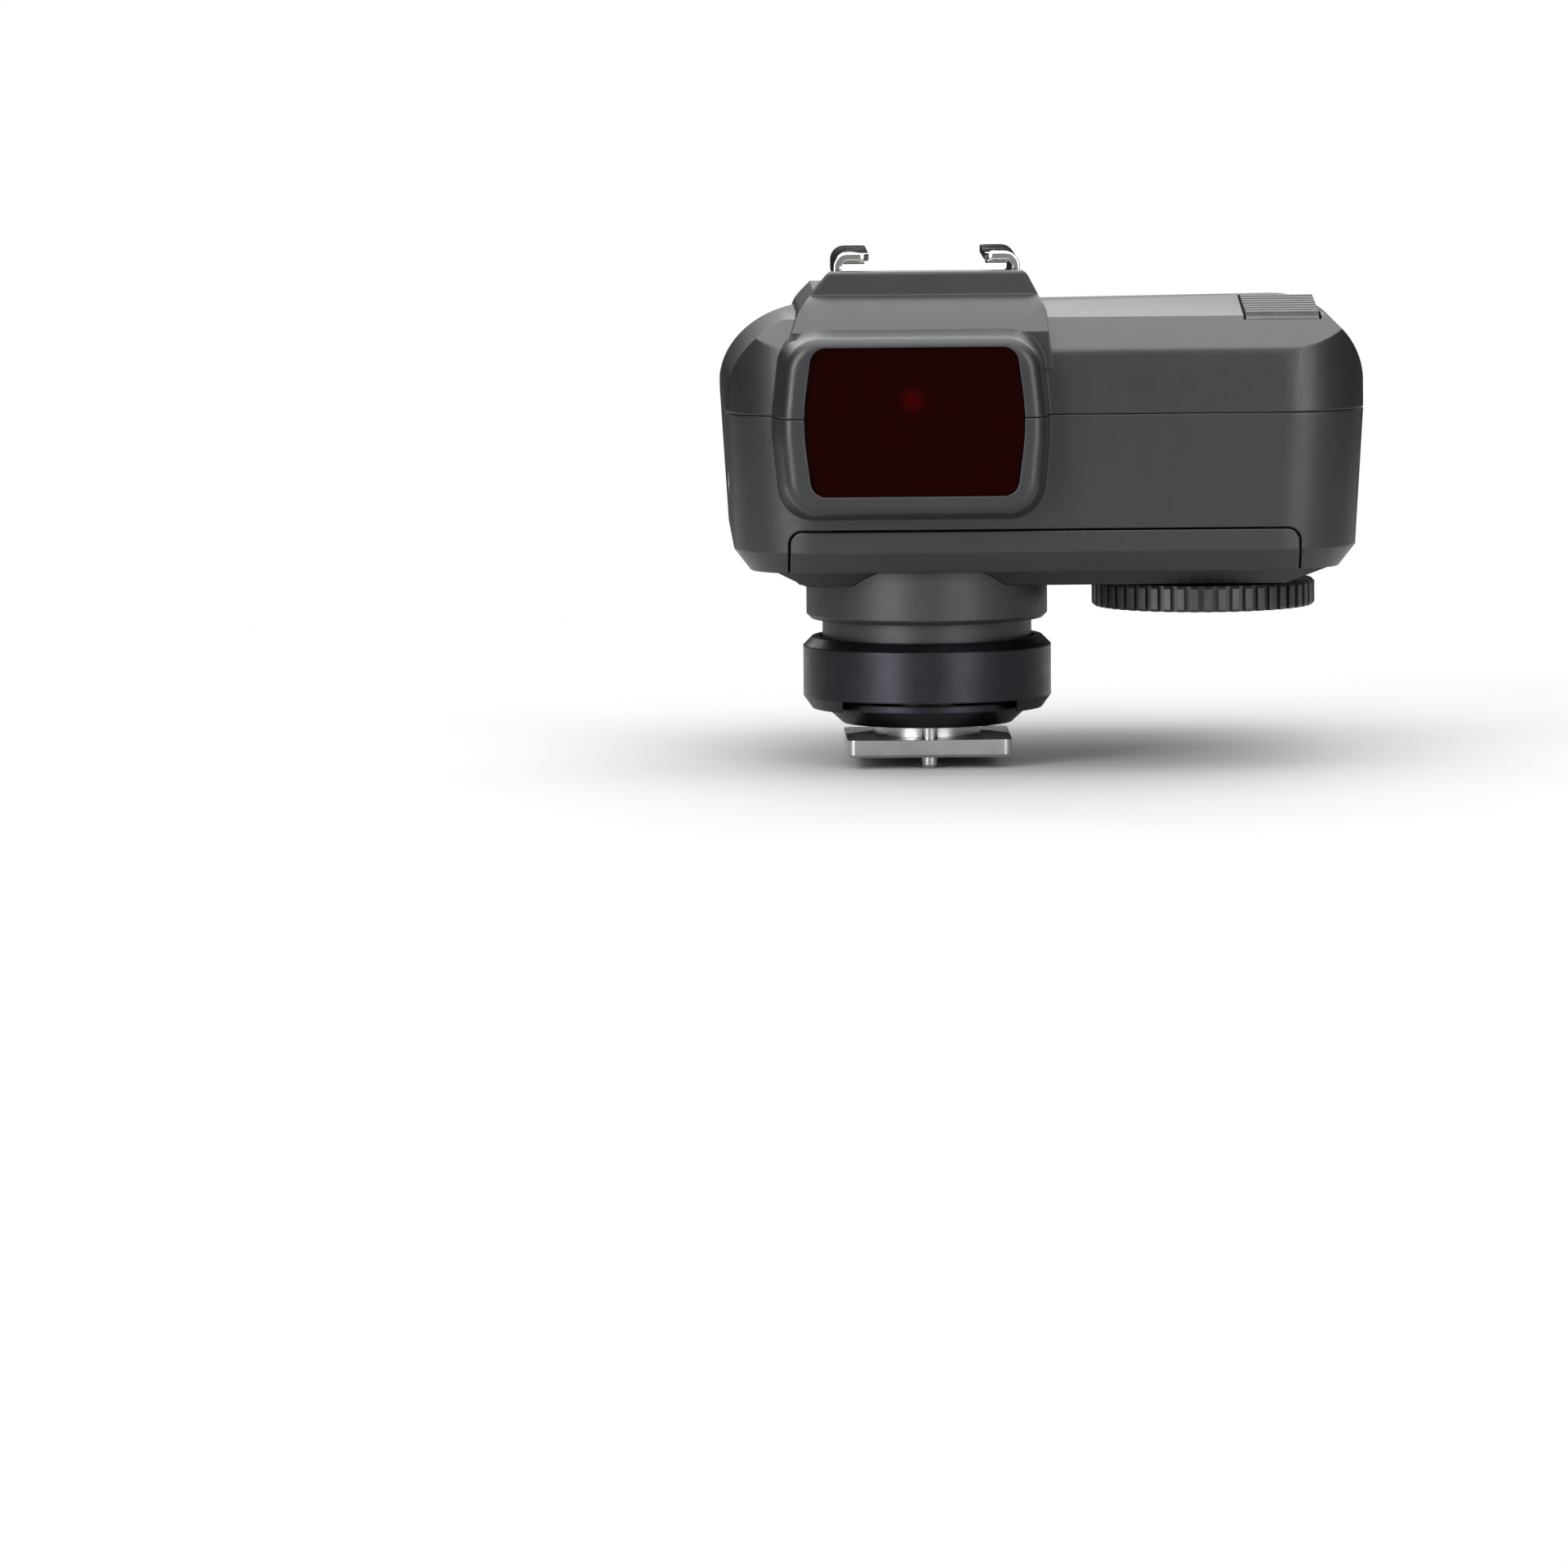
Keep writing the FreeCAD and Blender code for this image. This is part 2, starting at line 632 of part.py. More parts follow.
door_skin = floor_plate("door", dim.cover_split + dim.part_gap, 60,
                        dim.casing_rear - dim.lip_thick - 1.0, 60)
thumb_groove = group("thumb_groove", *[
    block("thumb_rib", 6.0, 20.6, dim.casing_rear - 10 + 1.6 * count, dim.casing_rear - 9.2 + 1.6 * count,
          dim.casing_floor - 1, dim.casing_floor + 0.5) for count in range(4)])
ledge_top = dim.casing_floor + dim.wall
door_tabs = []
for start, end in DOOR_TABS:
    for post, reach in ((dim.cover_left, -TAB_REACH), (dim.cover_right - 0.6, 0.0)):
        tab = post + reach
        door_tabs.append(block("tab_post", post, post + 0.6, start, end, ledge_top - 0.6, ledge_top + 0.9))
        door_tabs.append(block("door_tab", tab, tab + TAB_REACH + 0.6, start, end,
                               ledge_top + 0.1, ledge_top + 0.9))
node(cut("battery_door_cut", fuse("door_mass", door_skin, *door_tabs), thumb_groove), "battery_door")

# battery bay

for label, y in (("battery_cell_front", dim.cell_front), ("battery_cell_rear", dim.cell_rear)):
    can = turned(label + "_can", [
        (0, 0), (dim.cell_radius - 0.6, 0), (dim.cell_radius, 0.6), (dim.cell_radius, dim.cell_length - 1.6),
        (dim.cell_radius - 0.8, dim.cell_length - 0.8), (2.75, dim.cell_length - 0.8),
        (2.75, dim.cell_length + 0.6), (0, dim.cell_length + 0.6)])
    can.Placement.Rotation = Rotation(AXES["Z"], AXES["X"])
    place(can, dim.cell_left, y, dim.cell_height)
    node(can, label)

contact_left = dim.cell_left - 2.2
contact_right = dim.cell_left + dim.cell_length + 0.6
spring_plate = block("spring_plate", contact_left - 0.5, contact_left, 16.0, 43.0, 25.0, 36.2)
cones = []
for y in (dim.cell_front, dim.cell_rear):
    cone = doc.addObject("Part::Cone", "contact_spring")
    bind(cone, "Radius1", 4.2)
    bind(cone, "Radius2", 2.4)
    bind(cone, "Height", dim.cell_left - contact_left)
    cone.Placement.Rotation = Rotation(AXES["Z"], AXES["X"])
    place(cone, contact_left, y, dim.cell_height)
    cones.append(cone)
node(fuse("spring_contact_fuse", spring_plate, *cones), "battery_spring_contact")
plain_plate = block("plain_contact", contact_right, contact_right + 0.5, 16.0, 43.0, 25.0, 36.2)
node(plain_plate, "battery_plain_contact")

# mounting foot, clamp and lock ring

node(turned("foot_collar_turn", [
    (dim.foot_web, dim.collar_bottom), (dim.collar_radius - 0.5, dim.collar_bottom),
    (dim.collar_radius, dim.collar_bottom + 0.5), (dim.collar_radius, dim.casing_floor),
    (dim.foot_web, dim.casing_floor)]), "foot_collar")
node(turned("foot_neck_turn", [
    (dim.foot_web, dim.neck_bottom), (dim.neck_radius - 0.3, dim.neck_bottom),
    (dim.neck_radius, dim.neck_bottom + 0.3), (dim.neck_radius, 9.9), (dim.neck_radius - 0.6, 9.9),
    (dim.neck_radius - 0.6, 10.5), (dim.neck_radius, 10.5), (dim.neck_radius, dim.collar_bottom),
    (dim.foot_web, dim.collar_bottom)]), "foot_neck")
node(turned("ring_clip_turn", [
    (dim.neck_radius - 0.6, 9.9), (dim.neck_radius + 0.8, 9.9),
    (dim.neck_radius + 0.8, 10.5), (dim.neck_radius - 0.6, 10.5)]), "ring_circlip")

ring_bore = dim.neck_radius + dim.ring_clear
ring = turned("lock_ring_turn", [
    (ring_bore, dim.ring_bottom), (dim.ring_radius - dim.ring_bevel, dim.ring_bottom),
    (dim.ring_radius, dim.ring_bottom + dim.ring_bevel * 1.4), (dim.ring_radius, dim.ring_top - dim.ring_bevel),
    (dim.ring_radius - dim.ring_bevel, dim.ring_top), (ring_bore, dim.ring_top),
    (ring_bore, 10.8), (ring_bore + 0.8, 10.8), (ring_bore + 0.8, 9.6), (ring_bore, 9.6)])
ring_notch = block("ring_notch", -9.8, 9.8, -20, 20, dim.ring_bottom - 1, dim.ring_bottom + 1.4)
node(cut("lock_ring_cut", ring, ring_notch), "lock_ring")

clamp = turned("clamp_turn", [
    (dim.foot_web + 0.3, dim.clamp_low), (dim.clamp_low_radius, dim.clamp_low),
    (dim.clamp_radius, dim.clamp_shoulder), (dim.clamp_radius, dim.clamp_top),
    (dim.foot_web + 0.3, dim.clamp_top)])
pin_hole = rod("pin_hole", dim.lock_pin_radius, 10, 0, dim.lock_pin_y, 0)
node(cut("clamp_plate_cut", clamp, pin_hole), "clamp_plate")
node(turned("lock_pin_turn", [
    (0, dim.lock_pin_tip), (dim.lock_pin_radius - 0.3, dim.lock_pin_tip),
    (dim.lock_pin_radius, dim.lock_pin_tip + 0.4), (dim.lock_pin_radius, dim.clamp_top),
    (0, dim.clamp_top)], 0, dim.lock_pin_y), "lock_pin")

foot_plate = prism("foot_plate", "XY",
                   rectangle(-dim.foot_width / 2, dim.foot_width / 2, -dim.foot_length / 2, dim.foot_length / 2),
                   0, dim.foot_thick)
round_edges(foot_plate, "Z", 1.0)
bevel_loop(foot_plate, 0, 0.3)
stud_top = dim.casing_floor + dim.web_thick + 2.2
foot_stud = rod("foot_stud", dim.foot_web, stud_top - 1, 0, 0, 1)
core_hole = rod("core_hole", dim.insulator_radius, 40, 0, 0, -5)
pin_slide = rod("pin_slide", dim.lock_pin_radius + 0.1, 12, 0, dim.lock_pin_y, -5)
node(cut("shoe_foot_cut", fuse("foot_mass", foot_plate, foot_stud), core_hole, pin_slide), "shoe_foot")
node(turned("foot_nut_turn", [
    (dim.foot_web, dim.casing_floor + dim.web_thick), (9.0, dim.casing_floor + dim.web_thick),
    (9.0, stud_top - 0.6), (8.6, stud_top - 0.2), (dim.foot_web, stud_top - 0.2)]), "foot_nut")

contact_spots = {"centre": (0.0, 0.0, 1.1), "1": (-2.7, -1.6, 0.6), "2": (2.7, -1.6, 0.6),
                 "3": (-2.2, 2.3, 0.6), "4": (2.2, 2.3, 0.6)}
core = rod("core", dim.insulator_radius, 11.9, 0, 0, 0.1)
pin_bores = [rod("pin_bore", radius + 0.06, 8, x, y, -1) for x, y, radius in contact_spots.values()]
node(cut("contact_core_cut", core, *pin_bores), "foot_contact_block")
for label, (x, y, radius) in contact_spots.items():
    pin = turned("contact_pin_turn_" + label,
                 [(0, -dim.contact_out), (radius - 0.25, -dim.contact_out), (radius, -dim.contact_out + 0.3),
                  (radius, 5.5), (0, 5.5)], x, y)
    node(pin, "contact_pin_" + label)

# thumbwheel and its encoder

wheel = start_body("wheel")
wheel_sketch = start_sketch(wheel, "wheel_outline", "XY", dim.dial_bottom)
add_circle(wheel_sketch, (0, 0), dim.dial_radius)
wheel_pad = wheel.newObject("PartDesign::Pad", "wheel_pad")
wheel_pad.Profile = wheel_sketch
bind(wheel_pad, "Length", dim.dial_top - dim.dial_bottom)
doc.recompute()
for height in ("dial_bottom", "dial_top"):
    bevel_loop(wheel, SIZES[height], 0.3)
plain_volume = wheel.Shape.Volume
tooth_sketch = start_sketch(wheel, "wheel_slot_outline", "XY", dim.dial_bottom - 1)
add_polygon(tooth_sketch, rectangle(dim.dial_root, dim.dial_radius + 1, -0.36, 0.36))
tooth_slot = wheel.newObject("PartDesign::Pocket", "wheel_slot")
tooth_slot.Profile = tooth_sketch
tooth_slot.Reversed = True
bind(tooth_slot, "Length", 5.0)
doc.recompute()
teeth = wheel.newObject("PartDesign::PolarPattern", "wheel_slots")
teeth.Originals = [tooth_slot]
teeth.Axis = (wheel_sketch, ["N_Axis"])
teeth.Angle = 360.0
teeth.Occurrences = 50
wheel.Tip = teeth
place(wheel, dim.dial_x, dim.dial_y)
doc.recompute()
if wheel.Shape.Volume > plain_volume - 20:
    raise RuntimeError("the wheel's slots cut nothing")
wheel_shaft = rod("wheel_shaft", dim.dial_shaft, 6.6, dim.dial_x, dim.dial_y, dim.dial_top - 1)
node(fuse("dial_fuse", wheel, wheel_shaft), "dial")
encoder_body = block("encoder_body", dim.dial_x - 6, dim.dial_x + 6, dim.dial_y - 6, dim.dial_y + 6,
                     dim.casing_floor + dim.web_thick, dim.casing_floor + dim.web_thick + 4.5)
encoder_bore = rod("encoder_bore", dim.dial_shaft + 0.06, 6, dim.dial_x, dim.dial_y, 20)
node(cut("encoder_cut", encoder_body, encoder_bore), "encoder")

# accessory shoe

seat = dim.shoe_seat
shoe_floor = seat - dim.shoe_sheet
inner_half = dim.shoe_half - dim.shoe_sheet
lip_under = dim.shoe_lip - dim.shoe_sheet
gap_half = dim.shoe_gap_half
shoe_profile = prism("shoe_profile", "XZ", [
    (-dim.shoe_half, shoe_floor), (dim.shoe_half, shoe_floor), (dim.shoe_half, dim.shoe_lip),
    (gap_half, dim.shoe_lip),
    (gap_half, lip_under), (inner_half, lip_under), (inner_half, seat), (-inner_half, seat),
    (-inner_half, lip_under), (-gap_half, lip_under), (-gap_half, dim.shoe_lip),
    (-dim.shoe_half, dim.shoe_lip)],
    -dim.shoe_length / 2, dim.shoe_length / 2)
round_edges(shoe_profile, "Y", 0.85,
            lambda spot: abs(spot.x) > SIZES["shoe_half"] - 0.1 and spot.z > SIZES["shoe_lip"] - 0.1)
shoe_holes = [rod("shoe_hole", 0.85, 4, x, y, seat - 3) for x, y in SHOE_SCREW_SPOTS]
node(cut("top_shoe_cut", shoe_profile, *shoe_holes), "top_shoe")
node(block("shoe_insulator_block", -3.4, 3.4, -7.5, 7.5, seat, seat + 0.25), "shoe_insulator")
node(group("shoe_contact_group", *[
    rod("shoe_contact", radius, 0.1, x, y, seat + 0.25) for x, y, radius in contact_spots.values()]),
    "shoe_contacts")
bow = [(-8, lip_under), (-8, lip_under - 0.2), (0, lip_under - 0.75), (8, lip_under - 0.2),
       (8, lip_under), (0, lip_under - 0.55)]
node(group("shoe_spring_group", *[
    prism("shoe_spring_" + side, "YZ", bow, left, left + 2.4)
    for side, left in (("left", -9.3), ("right", 6.9))]),
    "shoe_springs")
node(group("shoe_screw_group", *[
    turned("shoe_screw", [(0, seat - 3.3), (0.85, seat - 3.3), (0.85, seat), (1.4, seat),
                          (1.2, seat + 0.25), (0, seat + 0.25)], x, y) for x, y in SHOE_SCREW_SPOTS]),
    "shoe_screws")

# test key

key_base = dim.board_high + 5.7
key_rise = (dim.key_rear_top - dim.key_front_top) / (dim.key_rear - dim.key_front)
key_side = [(dim.key_front, key_base), (dim.key_front, dim.key_front_top - 0.3),
            (dim.key_front + 0.3, dim.key_front_top)]
for count in range(8):
    start = dim.key_front + 0.6 + dim.key_pitch * count
    for offset, lift in ((0.0, 0.0), (0.15, dim.rib_high), (0.85, dim.rib_high), (1.0, 0.0)):
        y = start + offset
        key_side.append((y, dim.key_front_top + (y - dim.key_front) * key_rise + lift))
key_side += [(dim.key_rear, dim.key_rear_top), (dim.key_rear, key_base)]
key_body = prism("key_body", "YZ", key_side, dim.key_left, dim.key_right)
key_flange = block("key_flange", dim.key_left - 0.8, dim.key_right + 0.8, dim.key_front + 1, dim.key_rear + 0.8,
                   key_base - 0.9, key_base)
node(fuse("test_button_fuse", key_body, key_flange), "test_button")
switch_case = block("switch_case", 37.4, 41.8, -8.2, -3.8, dim.board_high, 45.2)
switch_nub = rod("switch_nub", 1.1, 1.6, 39.6, -6.0, 44.4)
node(fuse("test_switch_fuse", switch_case, switch_nub), "test_switch")

# rear control panel

slope_run = math.sqrt(1 + SIZES["panel_fall"] ** 2)
panel_length = (dim.panel_low_y - dim.panel_top_y) * slope_run
screen_start = (dim.screen_top_y - dim.panel_top_y) * slope_run
screen_end = (dim.screen_low_y - dim.panel_top_y) * slope_run


def slope_block(name, left, right, start, end, low, high, corner=0.0):
    # a rounded block in the panel's own frame: start and end run down the slope, heights are off it
    body = prism(name, "XY", rectangle(left, right, start, end), low, high)
    if corner:
        round_edges(body, "Z", corner)
    return body


group_keys = {"group_key_%d" % (count + 1): (-11.0, 4.3 + 6.0 * count, 7.6, 4.0) for count in range(5)}
soft_keys = {"soft_key_%d" % (count + 1): (17.5 + 10.8 * (count - 1.5), 28.3, 8.4, 4.0) for count in range(4)}
keys = {**group_keys, **soft_keys}
key_cuts = []
for label, (x, along, wide, tall) in keys.items():
    key_cuts.append(slope_block(label + "_hole", x - wide / 2 - 0.2, x + wide / 2 + 0.2,
                                along - tall / 2 - 0.2, along + tall / 2 + 0.2, -3, 3, 1.2))
panel_plate = slope_block("panel_plate", dim.panel_left, dim.panel_right, 0.45, panel_length - 0.2,
                          -dim.panel_thick, 0.15, 1.0)
window_seat = slope_block("window_seat", dim.screen_left, dim.screen_right, screen_start, screen_end,
                          -0.5, 2, 1.0)
window_through = slope_block("window_through", dim.screen_left + 1, dim.screen_right - 1, screen_start + 1,
                             screen_end - 1, -3, 2)
rear_panel = cut("rear_panel_cut", panel_plate, window_seat, window_through, *key_cuts)
node(on_slope(rear_panel, 0, dim.panel_top_y, 0), "rear_panel")
lcd_window = slope_block("lcd_window_body", dim.screen_left + 0.05, dim.screen_right - 0.05, screen_start + 0.05,
                         screen_end - 0.05, -0.5, 0.1, 1.0)
node(on_slope(lcd_window, 0, dim.panel_top_y, 0), "lcd_window")
lcd_module = slope_block("lcd_module_body", dim.screen_left - 0.5, dim.screen_right + 0.5, screen_start - 0.5,
                         screen_end + 0.5, -3.6, -dim.panel_thick)
node(on_slope(lcd_module, 0, dim.panel_top_y, 0), "lcd_module")
key_board = fuse("key_board_fuse",
                 slope_block("key_board_side", -15.5, -6.5, 2.0, 31.3, -2.4, -1.6),
                 slope_block("key_board_foot", -15.5, 40.0, 24.8, 31.3, -2.4, -1.6))
node(on_slope(key_board, 0, dim.panel_top_y, 0), "key_board")
for label, (x, along, wide, tall) in keys.items():
    cap = slope_block(label + "_cap", x - wide / 2, x + wide / 2, along - tall / 2, along + tall / 2,
                      -1.05, 0.75, 1.0)
    bevel_loop(cap, 0.75, 0.25)
    node(on_slope(cap, 0, dim.panel_top_y, 0), label)

# electronics

node(block("main_board_block", -15.0, 42.0, -11.5, 8.0, dim.board_low, dim.board_high), "main_board")
node(block("radio_can", -10.0, 8.0, -8.0, 4.0, dim.board_high, dim.board_high + 2.4), "radio_module")
node(block("antenna_strip", 10.0, 34.0, 5.0, 7.5, dim.board_high, dim.board_high + 0.6), "antenna")
node(turned("beeper_can", [(1.0, dim.board_high + 2.2), (1.0, dim.board_high + 2.8), (4.2, dim.board_high + 2.8),
                           (4.5, dim.board_high + 2.5), (4.5, dim.board_high), (0, dim.board_high),
                           (0, dim.board_high + 2.2)], 20.0, -3.0), "beeper")

# focus-assist lamp behind the window

lens_front = frame_face + dim.lens_recess
node(barrel("af_lens_body", dim.lens_left + 0.05, dim.lens_right - 0.05, dim.lens_low + 0.05,
            dim.lens_high - 0.05, dim.window_bulge, dim.lens_corner - 0.05,
            lens_front, lens_front + dim.lens_thick), "af_lens")
lamp_x = -1.9
lamp_z = 41.0
lamp_board_y = dim.casing_front + 4.6


def facing_front(name, profile):
    # an outline of (radius, distance ahead of the lamp board) points, turned about the lamp's axis
    body = turned(name, profile)
    body.Placement.Rotation = Rotation(AXES["Z"], -AXES["Y"])
    place(body, lamp_x, lamp_board_y, lamp_z)
    return body


node(facing_front("af_reflector_cup", [(3.0, 0.0), (3.6, 0.0), (5.2, 6.0), (4.7, 6.2)]), "af_reflector")
node(facing_front("af_lamp_bulb", [(0, 0), (2.5, 0), (2.5, 2.4), (2.2, 3.4), (1.4, 4.2), (0, 4.5)]), "af_lamp")
node(block("lamp_board_block", -10.0, 7.2, lamp_board_y, lamp_board_y + 1.0, 32.0, 46.0), "lamp_board")

# side ports and switches

jack_face = dim.casing_left + 0.55
jack_nose = rod("jack_nose", 2.9, 4, jack_face, dim.jack_y, dim.port_z, "X")
jack_case = block("jack_case", jack_face + 2, jack_face + 10.5, dim.jack_y - 3.2, dim.jack_y + 3.2,
                  dim.port_z - 3.2, dim.port_z + 3.2)
jack_bore = rod("jack_bore", dim.jack_bore, 10, jack_face - 1, dim.jack_y, dim.port_z, "X")
node(cut("sync_jack_cut", fuse("jack_mass", jack_nose, jack_case), jack_bore), "sync_jack")

usb_shell = prism("usb_shell", "YZ",
                  rectangle(dim.usb_y - 4.5, dim.usb_y + 4.5, dim.port_z - 1.6, dim.port_z + 1.6),
                  jack_face, jack_face + 6.9)
round_edges(usb_shell, "X", 1.5)
usb_cavity = prism("usb_cavity", "YZ",
                   rectangle(dim.usb_y - 4.15, dim.usb_y + 4.15, dim.port_z - 1.25, dim.port_z + 1.25),
                   jack_face - 1, jack_face + 5.9)
round_edges(usb_cavity, "X", 1.15)
usb_tongue = block("usb_tongue", jack_face + 0.8, jack_face + 6.4, dim.usb_y - 3.3, dim.usb_y + 3.3,
                   dim.port_z - 0.35, dim.port_z + 0.35)
node(fuse("usb_port_fuse", cut("usb_hollow", usb_shell, usb_cavity), usb_tongue), "usb_port")

for switch, (start, end) in SWITCH_SLOTS.items():
    stem = prism(switch + "_stem", "XY",
                 rectangle(dim.casing_right - 3.2, dim.casing_right - 0.65, start + 0.3, start + 5.0),
                 dim.port_z - 1.55, dim.port_z + 1.55)
    round_edges(stem, "Z", 0.4, lambda spot: spot.x > SIZES["casing_right"] - 1)
    grips = [block(switch + "_grip", dim.casing_right - 1.05, dim.casing_right + 1, start + 1.0 + 1.1 * count,
                   start + 1.4 + 1.1 * count, dim.port_z - 2, dim.port_z + 2) for count in range(4)]
    flange = block(switch + "_flange", dim.casing_right - 3.9, dim.casing_right - 2.7, start - 0.8, start + 6.0,
                   dim.port_z - 2.8, dim.port_z + 2.8)
    node(fuse(switch + "_fuse", cut(switch + "_knob", stem, *grips), flange), switch)

# screws


def pan_head(name, radius, head, low, neck, top, x, y):
    # a screw driven upwards from below, with a cross-shaped recess in its head
    shank = turned(name, [(0, low), (head - 0.2, low), (head, low + 0.2), (head, neck), (radius, neck),
                          (radius, top - 0.5), (radius - 0.4, top), (0, top)], x, y)
    slot_one = block(name + "_slot_x", x - head * 0.6, x + head * 0.6, y - 0.2, y + 0.2, low - 1, low + 0.5)
    slot_two = block(name + "_slot_y", x - 0.2, x + 0.2, y - head * 0.6, y + head * 0.6, low - 1, low + 0.5)
    return cut(name + "_cross", shank, slot_one, slot_two)


node(group("cover_screw_group", *[
    pan_head("cover_screw", 1.0, 1.65, dim.pan_bottom + 0.15, dim.pan_bottom + 1.2, 28.0, x, y)
    for x in COVER_SCREW_X for y in COVER_SCREW_Y]), "cover_screws")
node(group("casing_screw_group", *[
    pan_head("casing_screw", 1.0, 1.65, dim.casing_floor + 0.2, 22.6, 43.5, x, CASING_SCREW_Y)
    for x in CASING_SCREW_X]), "casing_screws")


# hand-over: every feature has to be sound before a file is written

doc.recompute()
failed = [item.Name for item in doc.Objects if "Invalid" in item.State or "Error" in item.State]
if failed:
    raise RuntimeError("features that did not compute: " + ", ".join(failed))
for item in nodes:
    if item.Shape.isNull() or not item.Shape.isValid():
        raise RuntimeError("bad shape: " + item.Label)

os.makedirs("parts", exist_ok=True)
for item in nodes:
    item.Shape.exportStep("parts/" + item.Label + ".step")
    print("%-24s %2d solid(s) %10.1f mm3" % (item.Label, len(item.Shape.Solids), item.Shape.Volume))
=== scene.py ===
import json
import math

import bmesh
import bpy
from mathutils import Matrix, Vector


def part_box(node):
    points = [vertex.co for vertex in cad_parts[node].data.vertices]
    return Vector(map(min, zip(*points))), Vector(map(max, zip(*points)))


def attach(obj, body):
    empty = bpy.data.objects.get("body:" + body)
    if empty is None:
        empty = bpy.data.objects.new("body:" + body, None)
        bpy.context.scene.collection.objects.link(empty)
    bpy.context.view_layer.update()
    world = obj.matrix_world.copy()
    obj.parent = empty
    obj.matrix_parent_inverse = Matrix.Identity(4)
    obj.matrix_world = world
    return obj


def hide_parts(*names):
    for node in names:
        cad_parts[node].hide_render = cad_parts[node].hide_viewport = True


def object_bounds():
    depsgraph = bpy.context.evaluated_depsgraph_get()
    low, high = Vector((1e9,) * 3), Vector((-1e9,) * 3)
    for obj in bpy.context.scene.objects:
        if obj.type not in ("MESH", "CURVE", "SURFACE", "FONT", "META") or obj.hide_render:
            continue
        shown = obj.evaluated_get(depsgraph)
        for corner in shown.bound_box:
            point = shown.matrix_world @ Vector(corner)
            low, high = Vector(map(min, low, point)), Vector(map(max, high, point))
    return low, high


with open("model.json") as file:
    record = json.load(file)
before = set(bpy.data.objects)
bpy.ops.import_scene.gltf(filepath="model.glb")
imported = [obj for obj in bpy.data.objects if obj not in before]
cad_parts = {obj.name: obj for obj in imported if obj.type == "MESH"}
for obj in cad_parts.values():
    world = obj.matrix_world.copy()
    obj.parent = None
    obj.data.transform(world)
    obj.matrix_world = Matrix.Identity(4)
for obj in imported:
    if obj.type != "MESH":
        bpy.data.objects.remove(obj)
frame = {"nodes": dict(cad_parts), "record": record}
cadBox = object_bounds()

mm = 0.001
nodes = frame["nodes"]
scene = bpy.context.scene
print("frame loaded:", len(nodes), "nodes")


def linear(colour):
    # "#rrggbb" in sRGB to the linear values that shaders take
    channels = [int(colour[i:i + 2], 16) / 255 for i in (1, 3, 5)]
    bent = [c / 12.92 if c <= 0.04045 else ((c + 0.055) / 1.055) ** 2.4 for c in channels]
    return (*bent, 1.0)


def addNode(tree, kind, settings=None, links=None, values=None):
    # adds one shader node: settings are its properties, values its sockets, links its inputs
    node = tree.nodes.new(kind)
    for name, value in (settings or {}).items():
        setattr(node, name, value)
    for name, value in (values or {}).items():
        node.inputs[name].default_value = value
    for name, source in (links or {}).items():
        tree.links.new(source, node.inputs[name])
    return node


def startMaterial(name, colour=None, **sockets):
    # a new material with its shader's own sockets set; returns the material, its tree and the shader
    material = bpy.data.materials.new(name)
    material.use_nodes = True
    tree = material.node_tree
    shader = tree.nodes["Principled BSDF"]
    if colour:
        shader.inputs["Base Color"].default_value = linear(colour)
    for socket, value in sockets.items():
        shader.inputs[socket.replace("_", " ")].default_value = value
    return material, tree, shader


def objectPoint(tree, scale=(1, 1, 1), shift=(0, 0, 0)):
    # the shaded point in the object's own space, scaled and then shifted
    place = addNode(tree, "ShaderNodeTexCoord")
    return addNode(tree, "ShaderNodeMapping", values={"Scale": scale, "Location": shift},
                   links={"Vector": place.outputs["Object"]}).outputs["Vector"]


def noise(tree, point, sizeMm, detail=3.0, rough=0.55):
    # noise whose blobs are about sizeMm across
    values = {"Scale": 1 / (sizeMm * mm), "Detail": detail, "Roughness": rough}
    return addNode(tree, "ShaderNodeTexNoise", links={"Vector": point}, values=values).outputs["Fac"]


def spread(tree, source, low, high, start=0.3, end=0.7):
    # stretches a 0..1 pattern to low..high
    values = {"From Min": start, "From Max": end, "To Min": low, "To Max": high}
    return addNode(tree, "ShaderNodeMapRange", links={"Value": source}, values=values).outputs["Result"]


def mixColour(tree, factor, first, second):
    # from the first sRGB colour to the second as factor goes from 0 to 1
    mix = addNode(tree, "ShaderNodeMix", settings={"data_type": "RGBA"})
    mix.inputs[6].default_value = linear(first)
    mix.inputs[7].default_value = linear(second)
    tree.links.new(factor, mix.inputs[0])
    return mix.outputs[2]


def multiply(tree, first, second):
    node = addNode(tree, "ShaderNodeMath", settings={"operation": "MULTIPLY"})
    tree.links.new(first, node.inputs[0])
    tree.links.new(second, node.inputs[1])
    return node.outputs["Value"]


def paint(tree, shader, colour, roughness):
    # a pattern each for the colour and the roughness
    tree.links.new(colour, shader.inputs["Base Color"])
    tree.links.new(roughness, shader.inputs["Roughness"])


def relief(tree, shader, height, depthMm, edgeMm):
    # surface grain over edges that are rounded off by edgeMm
    soft = addNode(tree, "ShaderNodeBevel", settings={"samples": 6}, values={"Radius": edgeMm * mm})
    bump = addNode(tree, "ShaderNodeBump", links={"Height": height, "Normal": soft.outputs["Normal"]},
                   values={"Strength": 1.0, "Distance": depthMm * mm})
    tree.links.new(bump.outputs["Normal"], shader.inputs["Normal"])


